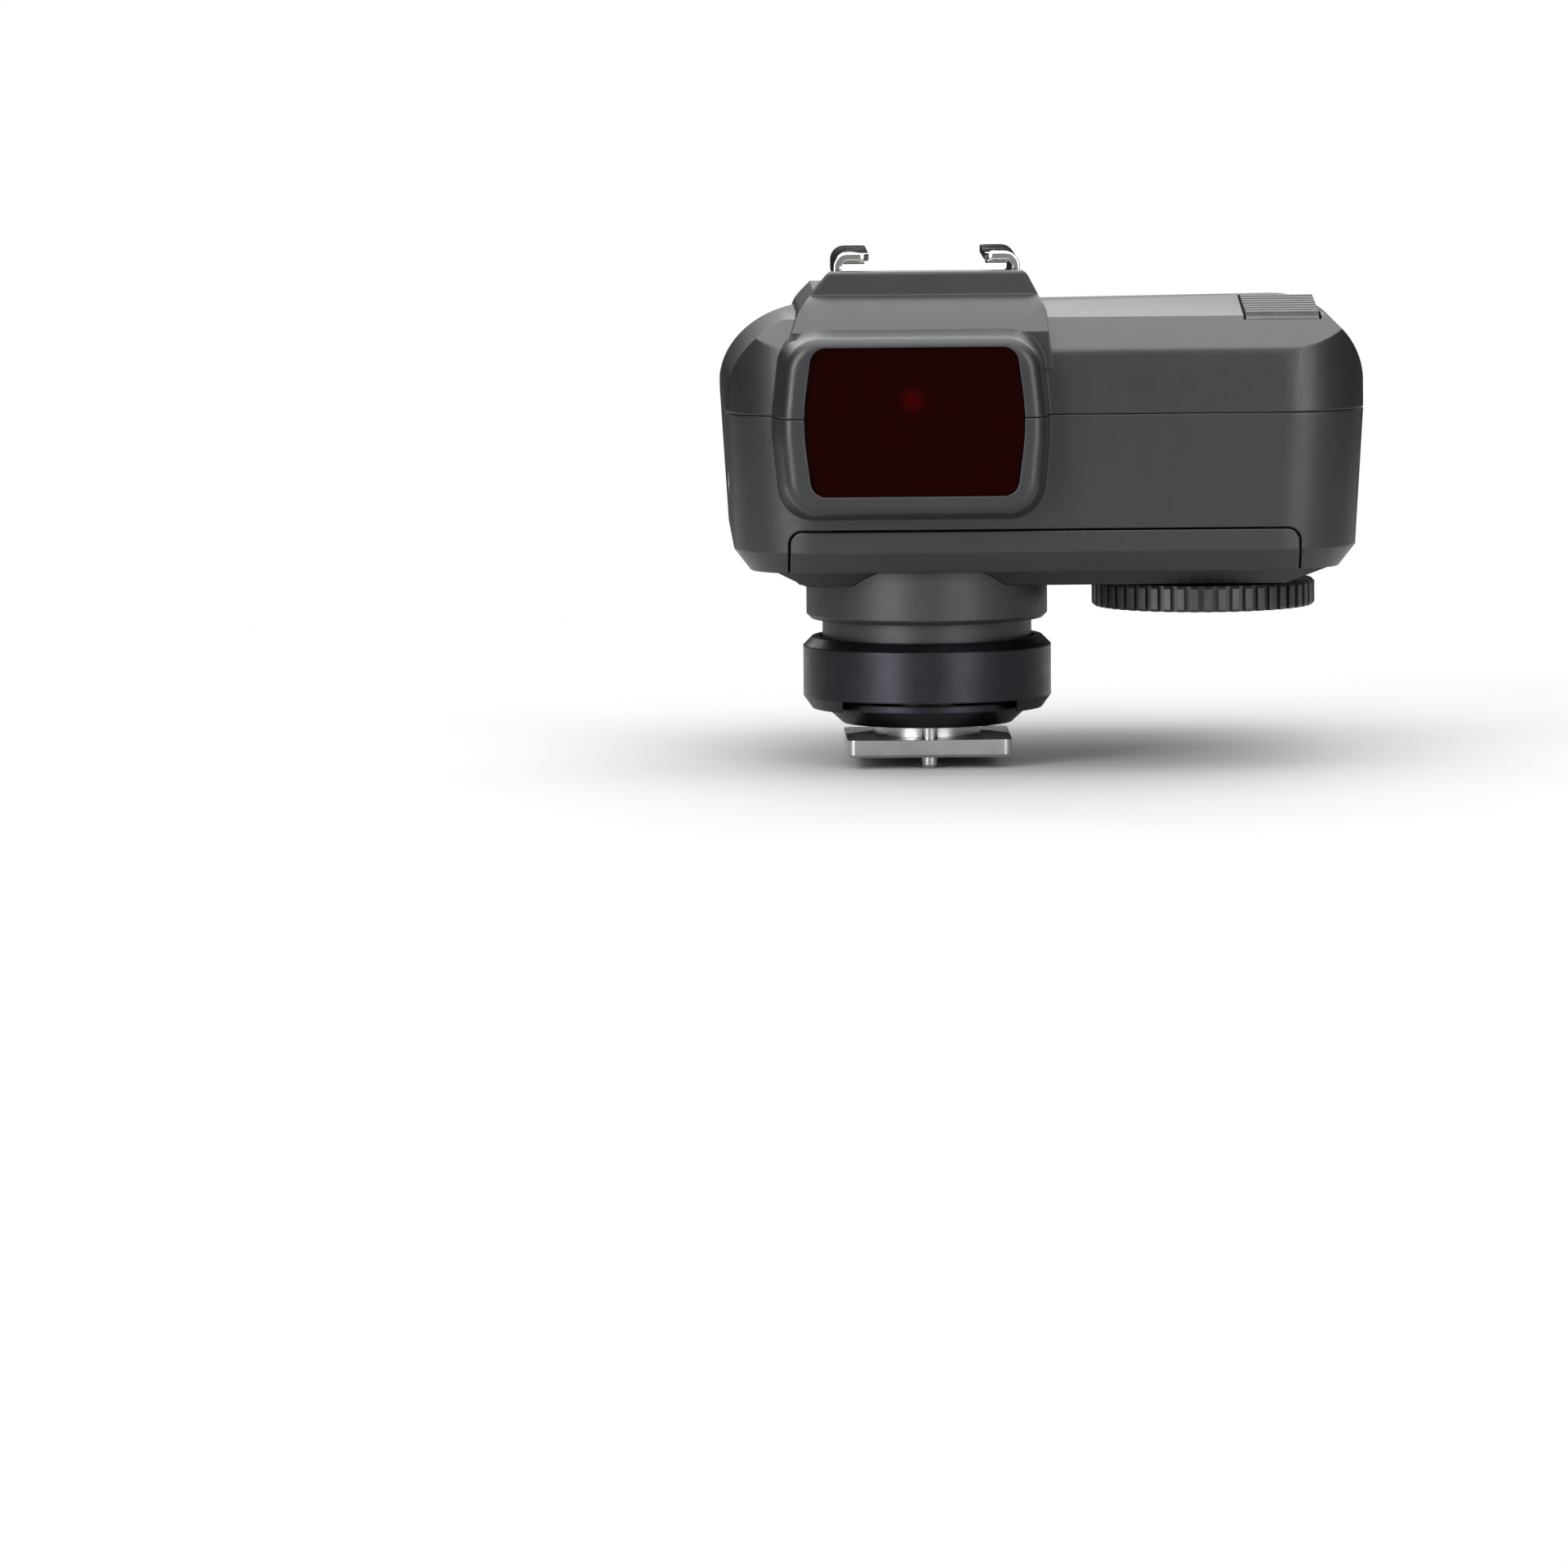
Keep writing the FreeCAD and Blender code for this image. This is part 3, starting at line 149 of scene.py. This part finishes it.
def mouldedPlastic(name, dark, light, roughness, grainMm=0.3, grainDepth=0.01, edgeMm=0.3):
    # spark-eroded moulding grain: even fine pits that break a highlight into a soft glow.
    # real grain is near 0.05 mm, drawn several times coarser so that it shows
    material, tree, shader = startMaterial(name, IOR=1.54)
    point = objectPoint(tree)
    patches = noise(tree, point, 9.0, 3.0)
    handled = noise(tree, point, 2.6, 4.0)
    paint(tree, shader, mixColour(tree, patches, dark, light),
          spread(tree, handled, roughness - 0.015, roughness + 0.02))
    relief(tree, shader, noise(tree, point, grainMm, 2.0, 0.6), grainDepth, edgeMm)
    return material


def wornPlastic(name, body, worn, roughness):
    # a key, wheel or printed mark: crests rubbed a little lighter by fingers
    material, tree, shader = startMaterial(name, IOR=1.54)
    point = objectPoint(tree)
    crest = addNode(tree, "ShaderNodeNewGeometry").outputs["Pointiness"]
    rubbed = spread(tree, crest, 0.0, 1.0, 0.5, 0.62)
    uneven = multiply(tree, rubbed, noise(tree, point, 1.6, 4.0))
    paint(tree, shader, mixColour(tree, uneven, body, worn),
          spread(tree, noise(tree, point, 2.2, 4.0), roughness - 0.06, roughness + 0.08))
    relief(tree, shader, noise(tree, point, 0.25, 2.0, 0.6), 0.008, 0.15)
    return material


def machinedMetal(name, dark, light, roughness, lineMm, lineDepth, along, edgeMm=0.12):
    # drawn, brushed or rolled metal: fine lines that run along one axis
    material, tree, shader = startMaterial(name, Metallic=1.0)
    stretch = [1.0, 1.0, 1.0]
    stretch["XYZ".index(along)] = 0.02
    lines = noise(tree, objectPoint(tree, scale=stretch), lineMm, 3.0, 0.6)
    stain = noise(tree, objectPoint(tree), 4.0, 4.0)
    paint(tree, shader, mixColour(tree, stain, dark, light),
          spread(tree, stain, roughness - 0.04, roughness + 0.07))
    relief(tree, shader, lines, lineDepth, edgeMm)
    return material


def turnedAnodised(name, dark, light, roughness):
    # black anodised aluminium, turned: the tool leaves rings about 0.1 mm apart, drawn at 0.3 mm
    material, tree, shader = startMaterial(name, Metallic=1.0)
    point = objectPoint(tree)
    rings = noise(tree, objectPoint(tree, scale=(0.03, 0.03, 1.0)), 0.3, 2.0, 0.5)
    dye = noise(tree, point, 6.0, 3.0)
    paint(tree, shader, mixColour(tree, dye, dark, light),
          spread(tree, noise(tree, point, 1.8, 4.0), roughness - 0.04, roughness + 0.06))
    relief(tree, shader, rings, 0.004, 0.25)
    return material


def siliconeRubber(name, dark, light):
    # moulded silicone keycap: dull, slightly translucent skin with lint-like mottling
    material, tree, shader = startMaterial(name, IOR=1.41, Sheen_Weight=0.15, Sheen_Roughness=0.4)
    point = objectPoint(tree)
    paint(tree, shader, mixColour(tree, noise(tree, point, 1.5, 5.0), dark, light),
          spread(tree, noise(tree, point, 0.7, 3.0), 0.5, 0.68))
    relief(tree, shader, noise(tree, point, 0.18, 2.0), 0.008, 0.25)
    return material


def redAcrylic(name):
    # deep red acrylic filter, polished: the lamp behind it only glimmers through, and its coating
    # takes off most of the reflection, hence the low IOR
    material, tree, shader = startMaterial(name, "#4a0509", IOR=1.14, Transmission_Weight=0.9)
    smears = noise(tree, objectPoint(tree), 3.5, 5.0)
    tree.links.new(spread(tree, smears, 0.02, 0.06), shader.inputs["Roughness"])
    waves = addNode(tree, "ShaderNodeBump", links={"Height": noise(tree, objectPoint(tree), 5.0, 1.0)},
                    values={"Strength": 1.0, "Distance": 0.01 * mm})
    tree.links.new(waves.outputs["Normal"], shader.inputs["Normal"])
    return material


def clearAcrylic(name):
    # hard-coated clear acrylic: fingerprints show only in its gloss
    material, tree, shader = startMaterial(name, "#e6ece9", IOR=1.49, Transmission_Weight=1.0)
    prints = noise(tree, objectPoint(tree), 2.4, 6.0)
    tree.links.new(spread(tree, prints, 0.0, 0.035), shader.inputs["Roughness"])
    return material


def lampEpoxy(name):
    # dark red epoxy dome, faintly alight round the chip at its middle
    material, tree, shader = startMaterial(name, "#5a0a0e", IOR=1.5, Coat_Weight=0.2)
    low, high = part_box("af_lamp")
    fromChip = addNode(tree, "ShaderNodeSeparateXYZ",
                       links={"Vector": objectPoint(tree, shift=-(low + high) / 2)})
    flat = addNode(tree, "ShaderNodeCombineXYZ",
                   links={"X": fromChip.outputs["X"], "Z": fromChip.outputs["Z"]})
    away = addNode(tree, "ShaderNodeVectorMath", settings={"operation": "LENGTH"},
                   links={"Vector": flat.outputs["Vector"]})
    shader.inputs["Emission Color"].default_value = linear("#ff2a1c")
    glow = addNode(tree, "ShaderNodeMapRange", settings={"interpolation_type": "SMOOTHSTEP"},
                   links={"Value": away.outputs["Value"]},
                   values={"From Min": 0.4 * mm, "From Max": 1.7 * mm, "To Min": 0.55, "To Max": 0.0})
    tree.links.new(glow.outputs[0], shader.inputs["Emission Strength"])
    cast = noise(tree, objectPoint(tree), 1.0, 3.0)
    tree.links.new(spread(tree, cast, 0.15, 0.3), shader.inputs["Roughness"])
    return material


def solderMask(name):
    # green solder mask over copper: a darker green where no copper lies beneath
    material, tree, shader = startMaterial(name, IOR=1.52, Coat_Weight=0.3)
    cells = addNode(tree, "ShaderNodeTexVoronoi", settings={"distance": "CHEBYCHEV"},
                    links={"Vector": objectPoint(tree)}, values={"Scale": 1 / (2.4 * mm)})
    paint(tree, shader, mixColour(tree, cells.outputs["Distance"], "#1d5c34", "#12401f"),
          spread(tree, noise(tree, objectPoint(tree), 1.2, 3.0), 0.3, 0.45))
    relief(tree, shader, cells.outputs["Distance"], 0.02, 0.1)
    return material


def liquidCrystal(name):
    # the panel's reflective grey-green glass, with its fine grid of cells 0.35 mm apart
    material, tree, shader = startMaterial(name, IOR=1.52)
    point = objectPoint(tree)
    grid = []
    for direction in ("X", "Y"):
        grid.append(addNode(tree, "ShaderNodeTexWave", links={"Vector": point},
                            settings={"wave_type": "BANDS", "bands_direction": direction},
                            values={"Scale": 0.05 / (0.35 * mm)}).outputs["Fac"])
    paint(tree, shader, mixColour(tree, multiply(tree, *grid), "#8c9a86", "#97a590"),
          spread(tree, noise(tree, point, 6.0), 0.25, 0.35))
    return material


def shrinkSleeve(name):
    # a cell's shrink sleeve: dark foil, slightly cloudy, with shallow ripples
    material, tree, shader = startMaterial(name, IOR=1.5, Metallic=0.3)
    point = objectPoint(tree)
    paint(tree, shader, mixColour(tree, noise(tree, point, 12.0, 2.0), "#33363b", "#44484e"),
          spread(tree, noise(tree, point, 2.0, 4.0), 0.25, 0.4))
    relief(tree, shader, noise(tree, point, 1.5, 2.0), 0.01, 0.2)
    return material


metals = {
    # slot: name, darker and lighter colour, roughness, line width and depth in mm, axis of the lines
    "bright_steel": ("bright nickel-chrome plated steel", "#cfcfcc", "#e4e4e2", 0.1, 0.4, 0.002, "Y"),
    "foot_steel": ("machined nickel-plated steel", "#9a9a98", "#b4b4b2", 0.28, 0.2, 0.004, "X"),
    "contact_brass": ("gold-plated brass", "#c9a04b", "#dcb761", 0.24, 0.2, 0.003, "X"),
    "spring_nickel": ("rolled nickel-plated strip", "#a5a39c", "#bdbbb4", 0.3, 0.25, 0.004, "Z"),
    "screw_steel": ("black zinc screw steel", "#26272a", "#34363a", 0.34, 0.15, 0.004, "X", 0.08),
    # the cup's colours sit far below bright metallising: painted shade of the hollow behind the red
    # window
    "reflector_metal": ("vacuum-metallised cup darkened with painted shade", "#5c5c5b", "#6a6a68", 0.3, 0.5, 0.002, "X"),
    "port_steel": ("stamped tin-plated steel", "#8e8e8c", "#a9a9a6", 0.3, 0.2, 0.004, "X"),
}
mouldings = {
    # slot: name, darker and lighter colour, roughness, grain width and depth in mm, edge radius in mm
    "casing_abs": ("moulded black ABS", "#17181a", "#1e1f22", 0.38),
    "collar_abs": ("glass-filled black nylon", "#16171a", "#202226", 0.46, 0.22, 0.016, 0.2),
    "black_component": ("black epoxy moulding", "#121314", "#1a1b1c", 0.5, 0.2, 0.008, 0.12),
}
wornPieces = {
    # slot or use: name, body colour, colour where worn, roughness
    "wheel_abs": ("moulded wheel ABS", "#17181a", "#3c3d40", 0.42),
    "test_key_abs": ("ribbed key ABS", "#1a1b1d", "#4a4b4e", 0.4),
    "mark": ("pale pad-printed ink", "#b9babb", "#cfd0d1", 0.5),
    "segment": ("dark liquid-crystal segment", "#20261f", "#2a3129", 0.35),
}


def makeMaterials():
    made = {slot: machinedMetal(*values) for slot, values in metals.items()}
    made.update({slot: mouldedPlastic(*values) for slot, values in mouldings.items()})
    made.update({slot: wornPlastic(*values) for slot, values in wornPieces.items()})
    made["key_rubber"] = siliconeRubber("silicone keycap rubber", "#26272a", "#303135")
    made["ring_aluminium"] = turnedAnodised("black anodised aluminium", "#2c2d31", "#36373c", 0.36)
    made["red_window"] = redAcrylic("deep red acrylic")
    made["lamp_epoxy"] = lampEpoxy("red lamp epoxy")
    made["board_green"] = solderMask("green solder mask")
    made["screen_cover"] = clearAcrylic("hard-coated clear acrylic")
    made["screen_glass"] = liquidCrystal("reflective liquid-crystal glass")
    made["cell_jacket"] = shrinkSleeve("shrink sleeve")
    return made


smoothing = {"weld": 0.0005, "sharpAbove": 24}


def makeSmoothing():
    # welds a node's loose triangles and shades its curved faces smooth
    tree = bpy.data.node_groups.new("smoothByAngle", "GeometryNodeTree")
    tree.interface.new_socket("Geometry", in_out="INPUT", socket_type="NodeSocketGeometry")
    tree.interface.new_socket("Geometry", in_out="OUTPUT", socket_type="NodeSocketGeometry")
    source = addNode(tree, "NodeGroupInput")
    weld = addNode(tree, "GeometryNodeMergeByDistance", values={"Distance": smoothing["weld"] * mm},
                   links={"Geometry": source.outputs[0]})
    smooth = addNode(tree, "GeometryNodeSetShadeSmooth", settings={"domain": "FACE"},
                     values={"Shade Smooth": True}, links={"Geometry": weld.outputs[0]})
    angle = addNode(tree, "GeometryNodeInputMeshEdgeAngle")
    sharp = addNode(tree, "FunctionNodeCompare",
                    settings={"data_type": "FLOAT", "operation": "GREATER_THAN"})
    sharp.inputs[1].default_value = math.radians(smoothing["sharpAbove"])
    tree.links.new(angle.outputs["Unsigned Angle"], sharp.inputs[0])
    crease = addNode(tree, "GeometryNodeSetShadeSmooth", settings={"domain": "EDGE"},
                     values={"Shade Smooth": False},
                     links={"Geometry": smooth.outputs[0], "Selection": sharp.outputs[0]})
    addNode(tree, "NodeGroupOutput", links={"Geometry": crease.outputs[0]})
    return tree


def dressNodes(materials):
    smoothByAngle = makeSmoothing()
    slots = {item["node"]: item["material_slot"] for item in frame["record"]["subparts"]}
    for name, part in nodes.items():
        part.data.materials.clear()
        part.data.materials.append(materials[slots[name]])
        part.modifiers.new("smooth", "NODES").node_group = smoothByAngle


softEdges = {"segments": 2, "angle": 40}


def finishPiece(name, shape, material, body, smoothAngle=30, bevelMm=0.0, sheetMm=0.0):
    # turns a bmesh into a piece that rides on a body; sheetMm gives a single skin its thickness
    bmesh.ops.recalc_face_normals(shape, faces=shape.faces)
    mesh = bpy.data.meshes.new(name)
    shape.to_mesh(mesh)
    shape.free()
    mesh.materials.append(material)
    piece = bpy.data.objects.new(name, mesh)
    scene.collection.objects.link(piece)
    for face in mesh.polygons:
        face.use_smooth = True
    if sheetMm:
        thick = piece.modifiers.new("thickness", "SOLIDIFY")
        thick.thickness = sheetMm * mm
        thick.offset = 0.0
    if bevelMm:
        edge = piece.modifiers.new("softEdges", "BEVEL")
        edge.width = bevelMm * mm
        edge.segments = softEdges["segments"]
        edge.limit_method = "ANGLE"
        edge.angle_limit = math.radians(softEdges["angle"])
    mesh.set_sharp_from_angle(angle=math.radians(smoothAngle))
    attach(piece, body)
    return piece


shoeSheet = {
    "sheet": 0.9,
    "bend": 1.1,
    "bendSegments": 6,
    "lipEdge": 6.5,
    "corner": 1.0,
    "cornerSegments": 4,
    "sharpAbove": 40,
    "softEdge": 0.12,
}


def makeShoe(materials):
    # the accessory shoe is one bent sheet: a floor, two walls and two lips turned in over the floor
    low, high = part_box("top_shoe")
    half = shoeSheet["sheet"] / 2 * mm
    lip = shoeSheet["lipEdge"] * mm
    right = high.x - half
    profile = [(lip, high.z - half), (right, high.z - half), (right, low.z + half),
               (-right, low.z + half), (-right, high.z - half), (-lip, high.z - half)]
    shape = bmesh.new()
    points = [shape.verts.new((x, low.y, z)) for x, z in profile]
    wires = [shape.edges.new(pair) for pair in zip(points, points[1:])]
    swept = bmesh.ops.extrude_edge_only(shape, edges=wires)["geom"]
    moved = [item for item in swept if isinstance(item, bmesh.types.BMVert)]
    bmesh.ops.translate(shape, verts=moved, vec=(0, high.y - low.y, 0))
    bends = [edge for edge in shape.edges
             if len(edge.link_faces) == 2 and abs(edge.verts[0].co.y - edge.verts[1].co.y) > mm]
    bmesh.ops.bevel(shape, geom=bends, offset=shoeSheet["bend"] * mm, profile=0.5,
                    segments=shoeSheet["bendSegments"], affect="EDGES", material=-1)
    corners = [vert for vert in shape.verts if abs(abs(vert.co.x) - lip) < 0.01 * mm]
    bmesh.ops.bevel(shape, geom=corners, offset=shoeSheet["corner"] * mm, profile=0.5,
                    segments=shoeSheet["cornerSegments"], affect="VERTICES", material=-1)
    piece = finishPiece("bent_shoe_sheet", shape, materials["bright_steel"], "casing",
                        shoeSheet["sharpAbove"], shoeSheet["softEdge"], shoeSheet["sheet"])
    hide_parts("top_shoe")


def addBar(shape, centre, size, turn=0.0):
    # one bar about centre, turned in the X-Z plane
    made = bmesh.ops.create_cube(shape, size=1.0)["verts"]
    for vert in made:
        vert.co = Vector((vert.co.x * size[0], vert.co.y * size[1], vert.co.z * size[2]))
    bmesh.ops.rotate(shape, verts=made, matrix=Matrix.Rotation(turn, 3, "Y"))
    bmesh.ops.translate(shape, verts=made, vec=centre)


lampGuard = {
    "wall": 0.5,
    "inset": 1.2,       # how much narrower the frame is than the window
    "frontGap": 0.4,
    "backGap": 0.3,
    "softEdge": 0.1,
}


def makeLampGuard(materials):
    # the black frame behind the window, from the window back to the lamp's board
    low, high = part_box("af_lens")
    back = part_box("lamp_board")[0].y - lampGuard["backGap"] * mm
    front = high.y + lampGuard["frontGap"] * mm
    wall = lampGuard["wall"] * mm
    middle = (low + high) / 2
    deep = (front + back) / 2
    wide = high.x - low.x - lampGuard["inset"] * mm
    tall = high.z - low.z - lampGuard["inset"] * mm
    shape = bmesh.new()
    for side in (-1, 1):
        addBar(shape, (middle.x + side * wide / 2, deep, middle.z), (wall, back - front, tall + wall))
        addBar(shape, (middle.x, deep, middle.z + side * tall / 2), (wide, back - front, wall))
    finishPiece("lamp_guard", shape, materials["black_component"], "casing",
                bevelMm=lampGuard["softEdge"])


lampWires = {
    # x, distance behind the frame's front, height above the window's middle, width, length, lean
    "rib": (7.6, 1.5, -2.2, 0.35, 8.932, 0),
    "ledge": (-7.6, 1.5, -4.85, 4.6, 0.42, 4),
    "strut": (-6.0, 2.4, -2.45, 0.3, 3.0, 32),
    "leftClip": (-10.2, 3.0, -1.0, 0.2, 5.0, 0),
    "rightClip": (-9.0, 3.0, -1.0, 0.2, 5.0, 0),
}
wireThickness = 0.3


def makeLampWires(materials):
    # the bright clips and leads round the lamp, which glimmer through the window; the metal they are
    # given is darkened with painted shade of the lamp's hollow
    low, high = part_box("af_lens")
    front = high.y + lampGuard["frontGap"] * mm
    middle = (low + high) / 2
    shape = bmesh.new()
    for x, depth, above, wide, tall, lean in lampWires.values():
        addBar(shape, (x * mm, front + depth * mm, middle.z + above * mm),
               (wide * mm, wireThickness * mm, tall * mm), math.radians(lean))
    finishPiece("lamp_clip_wires", shape, materials["reflector_metal"], "casing",
                bevelMm=0.06)


slope = {"fall": 0.3256}


def slopeFrame(x, y, z):
    # the matrix that lays something drawn flat onto the rear slope
    tilt = Matrix.Rotation(-math.atan(slope["fall"]), 4, "X")
    return Matrix.Translation((x, y, z)) @ tilt


keyMarks = {
    "dot": 0.42,
    "dotTop": 0.94,     # share of the dot's radius at its top
    "dotSides": 20,
    "dotStep": 1.2,
    "barLong": 3.2,
    "barWide": 0.5,
    "high": 0.06,
}


def makeKeyMarks(materials):
    # pale printed marks: one to five dots down the side keys, a bar on each key under the screen
    high = keyMarks["high"] * mm
    dot = keyMarks["dot"] * mm
    outward = (slopeFrame(0, 0, 0) @ Vector((0, 0, 1))).normalized()
    for name in [key for key in nodes if key.startswith(("group_key_", "soft_key_"))]:
        low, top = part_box(name)
        number = int(name[-1])
        centre = (low + top) / 2
        crown = max((vert.co - centre).dot(outward) for vert in nodes[name].data.vertices)
        flat = slopeFrame(*centre) @ Matrix.Translation((0, 0, crown + high / 3))
        shape = bmesh.new()
        if name.startswith("group"):
            for count in range(number):
                along = (count - (number - 1) / 2) * keyMarks["dotStep"] * mm
                bmesh.ops.create_cone(shape, cap_ends=True, segments=keyMarks["dotSides"], radius1=dot,
                                      radius2=dot * keyMarks["dotTop"], depth=high,
                                      matrix=flat @ Matrix.Translation((along, 0, 0)))
        else:
            addBar(shape, (0, 0, 0), (keyMarks["barLong"] * mm, keyMarks["barWide"] * mm, high))
            bmesh.ops.transform(shape, verts=shape.verts, matrix=flat)
        finishPiece(name + "_mark", shape, materials["mark"], name)


screenMarks = {
    "sunk": 0.62,       # below the middle of the cover
    "high": 0.04,
    "rows": 5,
    "rowStep": 3.3,
    "barHigh": 1.7,
    "labelX": -17.6,
    "labelWide": 1.7,
    "firstX": -14.2,
    "segmentWide": 1.2,
    "segmentStep": 1.9,
    "segments": 8,
    "boxX": 9.6,
    "boxWide": 17.0,
    "boxStep": 15.6,
    "boxTall": 15.8,
    "line": 0.25,
    "figureStep": 4.6,
    "figureWide": 2.6,
    "figureHigh": 4.6,
}


def makeScreenMarks(materials):
    # the screen's segments: a level bar for each of five groups, and three blocks in a frame
    sizes = screenMarks
    marks = []      # x, y, width, height
    for row in range(sizes["rows"]):
        down = ((sizes["rows"] - 1) / 2 - row) * sizes["rowStep"]
        marks.append((sizes["labelX"], down, sizes["labelWide"], sizes["barHigh"]))
        for count in range(sizes["segments"] - row):
            along = sizes["firstX"] + count * sizes["segmentStep"]
            marks.append((along, down, sizes["segmentWide"], sizes["barHigh"]))
    for side in (-1, 1):
        marks.append((sizes["boxX"], side * sizes["boxStep"] / 2, sizes["boxWide"], sizes["line"]))
        marks.append((sizes["boxX"] + side * sizes["boxWide"] / 2, 0, sizes["line"], sizes["boxTall"]))
    for side in (-1, 0, 1):
        along = sizes["boxX"] + side * sizes["figureStep"]
        marks.append((along, 0, sizes["figureWide"], sizes["figureHigh"]))

    shape = bmesh.new()
    for x, y, wide, tall in marks:
        addBar(shape, (x * mm, y * mm, -sizes["sunk"] * mm), (wide * mm, tall * mm, sizes["high"] * mm))
    low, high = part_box("lcd_window")
    bmesh.ops.transform(shape, verts=shape.verts, matrix=slopeFrame(*((low + high) / 2)))
    finishPiece("screen_segments", shape, materials["segment"], "casing")


worldLight = {
    "back": 0.02,       # what dark corners of the studio send back
    "front": 0.3,
    "backFrom": 0.1,
    "frontTo": -0.9,
    "overhead": 3.5,    # a wide diffuser right above
    "overheadFrom": 0.5,
    "overheadTo": 0.96,
}


def makeWorld():
    # a white backdrop to look at, that lights the scene as a dark room with a diffuser overhead
    world = bpy.data.worlds.new("studio")
    scene.world = world
    world.use_nodes = True
    tree = world.node_tree
    sky = tree.nodes["Background"]
    ray = addNode(tree, "ShaderNodeTexCoord")
    heading = addNode(tree, "ShaderNodeSeparateXYZ", links={"Vector": ray.outputs["Generated"]})
    front = addNode(tree, "ShaderNodeMapRange", links={"Value": heading.outputs["Y"]},
                    values={"From Min": worldLight["backFrom"], "From Max": worldLight["frontTo"],
                            "To Min": worldLight["back"], "To Max": worldLight["front"]})
    above = addNode(tree, "ShaderNodeMapRange", settings={"interpolation_type": "SMOOTHSTEP"},
                    links={"Value": heading.outputs["Z"]},
                    values={"From Min": worldLight["overheadFrom"], "From Max": worldLight["overheadTo"],
                            "To Min": 0.0, "To Max": worldLight["overhead"]})
    glow = addNode(tree, "ShaderNodeMath", settings={"operation": "ADD"})
    tree.links.new(front.outputs[0], glow.inputs[0])
    tree.links.new(above.outputs[0], glow.inputs[1])
    seen = addNode(tree, "ShaderNodeLightPath")
    strength = addNode(tree, "ShaderNodeMix", settings={"data_type": "FLOAT"},
                       links={"Factor": seen.outputs["Is Camera Ray"]})
    tree.links.new(glow.outputs[0], strength.inputs[2])
    strength.inputs[3].default_value = 1.0
    sky.inputs["Color"].default_value = (1, 1, 1, 1)
    tree.links.new(strength.outputs[0], sky.inputs["Strength"])
    scene.view_settings.view_transform = "Standard"


floorSheet = {"size": 0.4, "dark": "#aeaead", "light": "#b3b3b1", "fibres": 40.0}


def makeFloor():
    mesh = bpy.data.meshes.new("floor")
    shape = bmesh.new()
    bmesh.ops.create_grid(shape, x_segments=2, y_segments=2, size=floorSheet["size"] / 2,
                          matrix=Matrix.Translation((0, 0, cadBox[0].z)))
    shape.to_mesh(mesh)
    shape.free()
    floor = bpy.data.objects.new("floor", mesh)
    scene.collection.objects.link(floor)
    paper, tree, shader = startMaterial("pale paper floor", Roughness=0.9, Specular_IOR_Level=0.1)
    fibres = noise(tree, objectPoint(tree), floorSheet["fibres"])
    tree.links.new(mixColour(tree, fibres, floorSheet["dark"], floorSheet["light"]),
                   shader.inputs["Base Color"])
    mesh.materials.append(paper)


softboxes = {
    # place and size in metres, power in watts
    "leftSoftbox": ((-0.72, -0.90, 0.34), (0.5, 0.9), 13.0),
    "rightSoftbox": ((0.66, -1.02, 0.30), (0.5, 0.9), 8.0),
    "backSoftbox": ((0.10, 1.15, 0.80), (1.8, 0.7), 14.0),
}


def makeSoftboxes():
    target = Vector((0.01, 0, 0.03))
    for name, (place, size, power) in softboxes.items():
        light = bpy.data.lights.new(name, "AREA")
        light.shape = "RECTANGLE"
        light.size, light.size_y = size
        light.energy = power
        lamp = bpy.data.objects.new(name, light)
        lamp.location = place
        lamp.rotation_euler = (target - Vector(place)).to_track_quat("-Z", "Y").to_euler()
        scene.collection.objects.link(lamp)


cameraSizes = {
    "distance": 1.522,      # far away, as a long lens sees it
    "lens": 307.8,
    "sensor": 36.0,
    "azimuth": -1.0,
    "pitch": 5.3,
    "roll": -0.45,
    "aim": (-16.35, 0.0, -3.65),
    "nearest": 0.05,
    "farthest": 30.0,
}


def makeCamera():
    camera = bpy.data.cameras.new("camera")
    camera.lens = cameraSizes["lens"]
    camera.sensor_width = cameraSizes["sensor"]
    camera.clip_start = cameraSizes["nearest"]
    camera.clip_end = cameraSizes["farthest"]
    holder = bpy.data.objects.new("camera", camera)
    scene.collection.objects.link(holder)
    turn = math.radians(cameraSizes["azimuth"])
    tilt = math.radians(cameraSizes["pitch"])
    level = math.cos(tilt)
    ahead = Vector((-math.sin(turn) * level, math.cos(turn) * level, -math.sin(tilt)))
    aim = Vector(cameraSizes["aim"]) * mm
    holder.location = aim - ahead * cameraSizes["distance"]
    facing = ahead.to_track_quat("-Z", "Y")
    roll = Matrix.Rotation(math.radians(cameraSizes["roll"]), 4, "Z")
    holder.rotation_euler = (facing.to_matrix().to_4x4() @ roll).to_euler()
    scene.camera = holder


makeWorld()
makeFloor()
makeSoftboxes()
makeCamera()
print("stage and camera ready")

materials = makeMaterials()
dressNodes(materials)
print("materials ready:", len(materials))

makeShoe(materials)
makeLampGuard(materials)
makeLampWires(materials)
makeKeyMarks(materials)
makeScreenMarks(materials)
print("shoe, lamp, keys and screen ready")
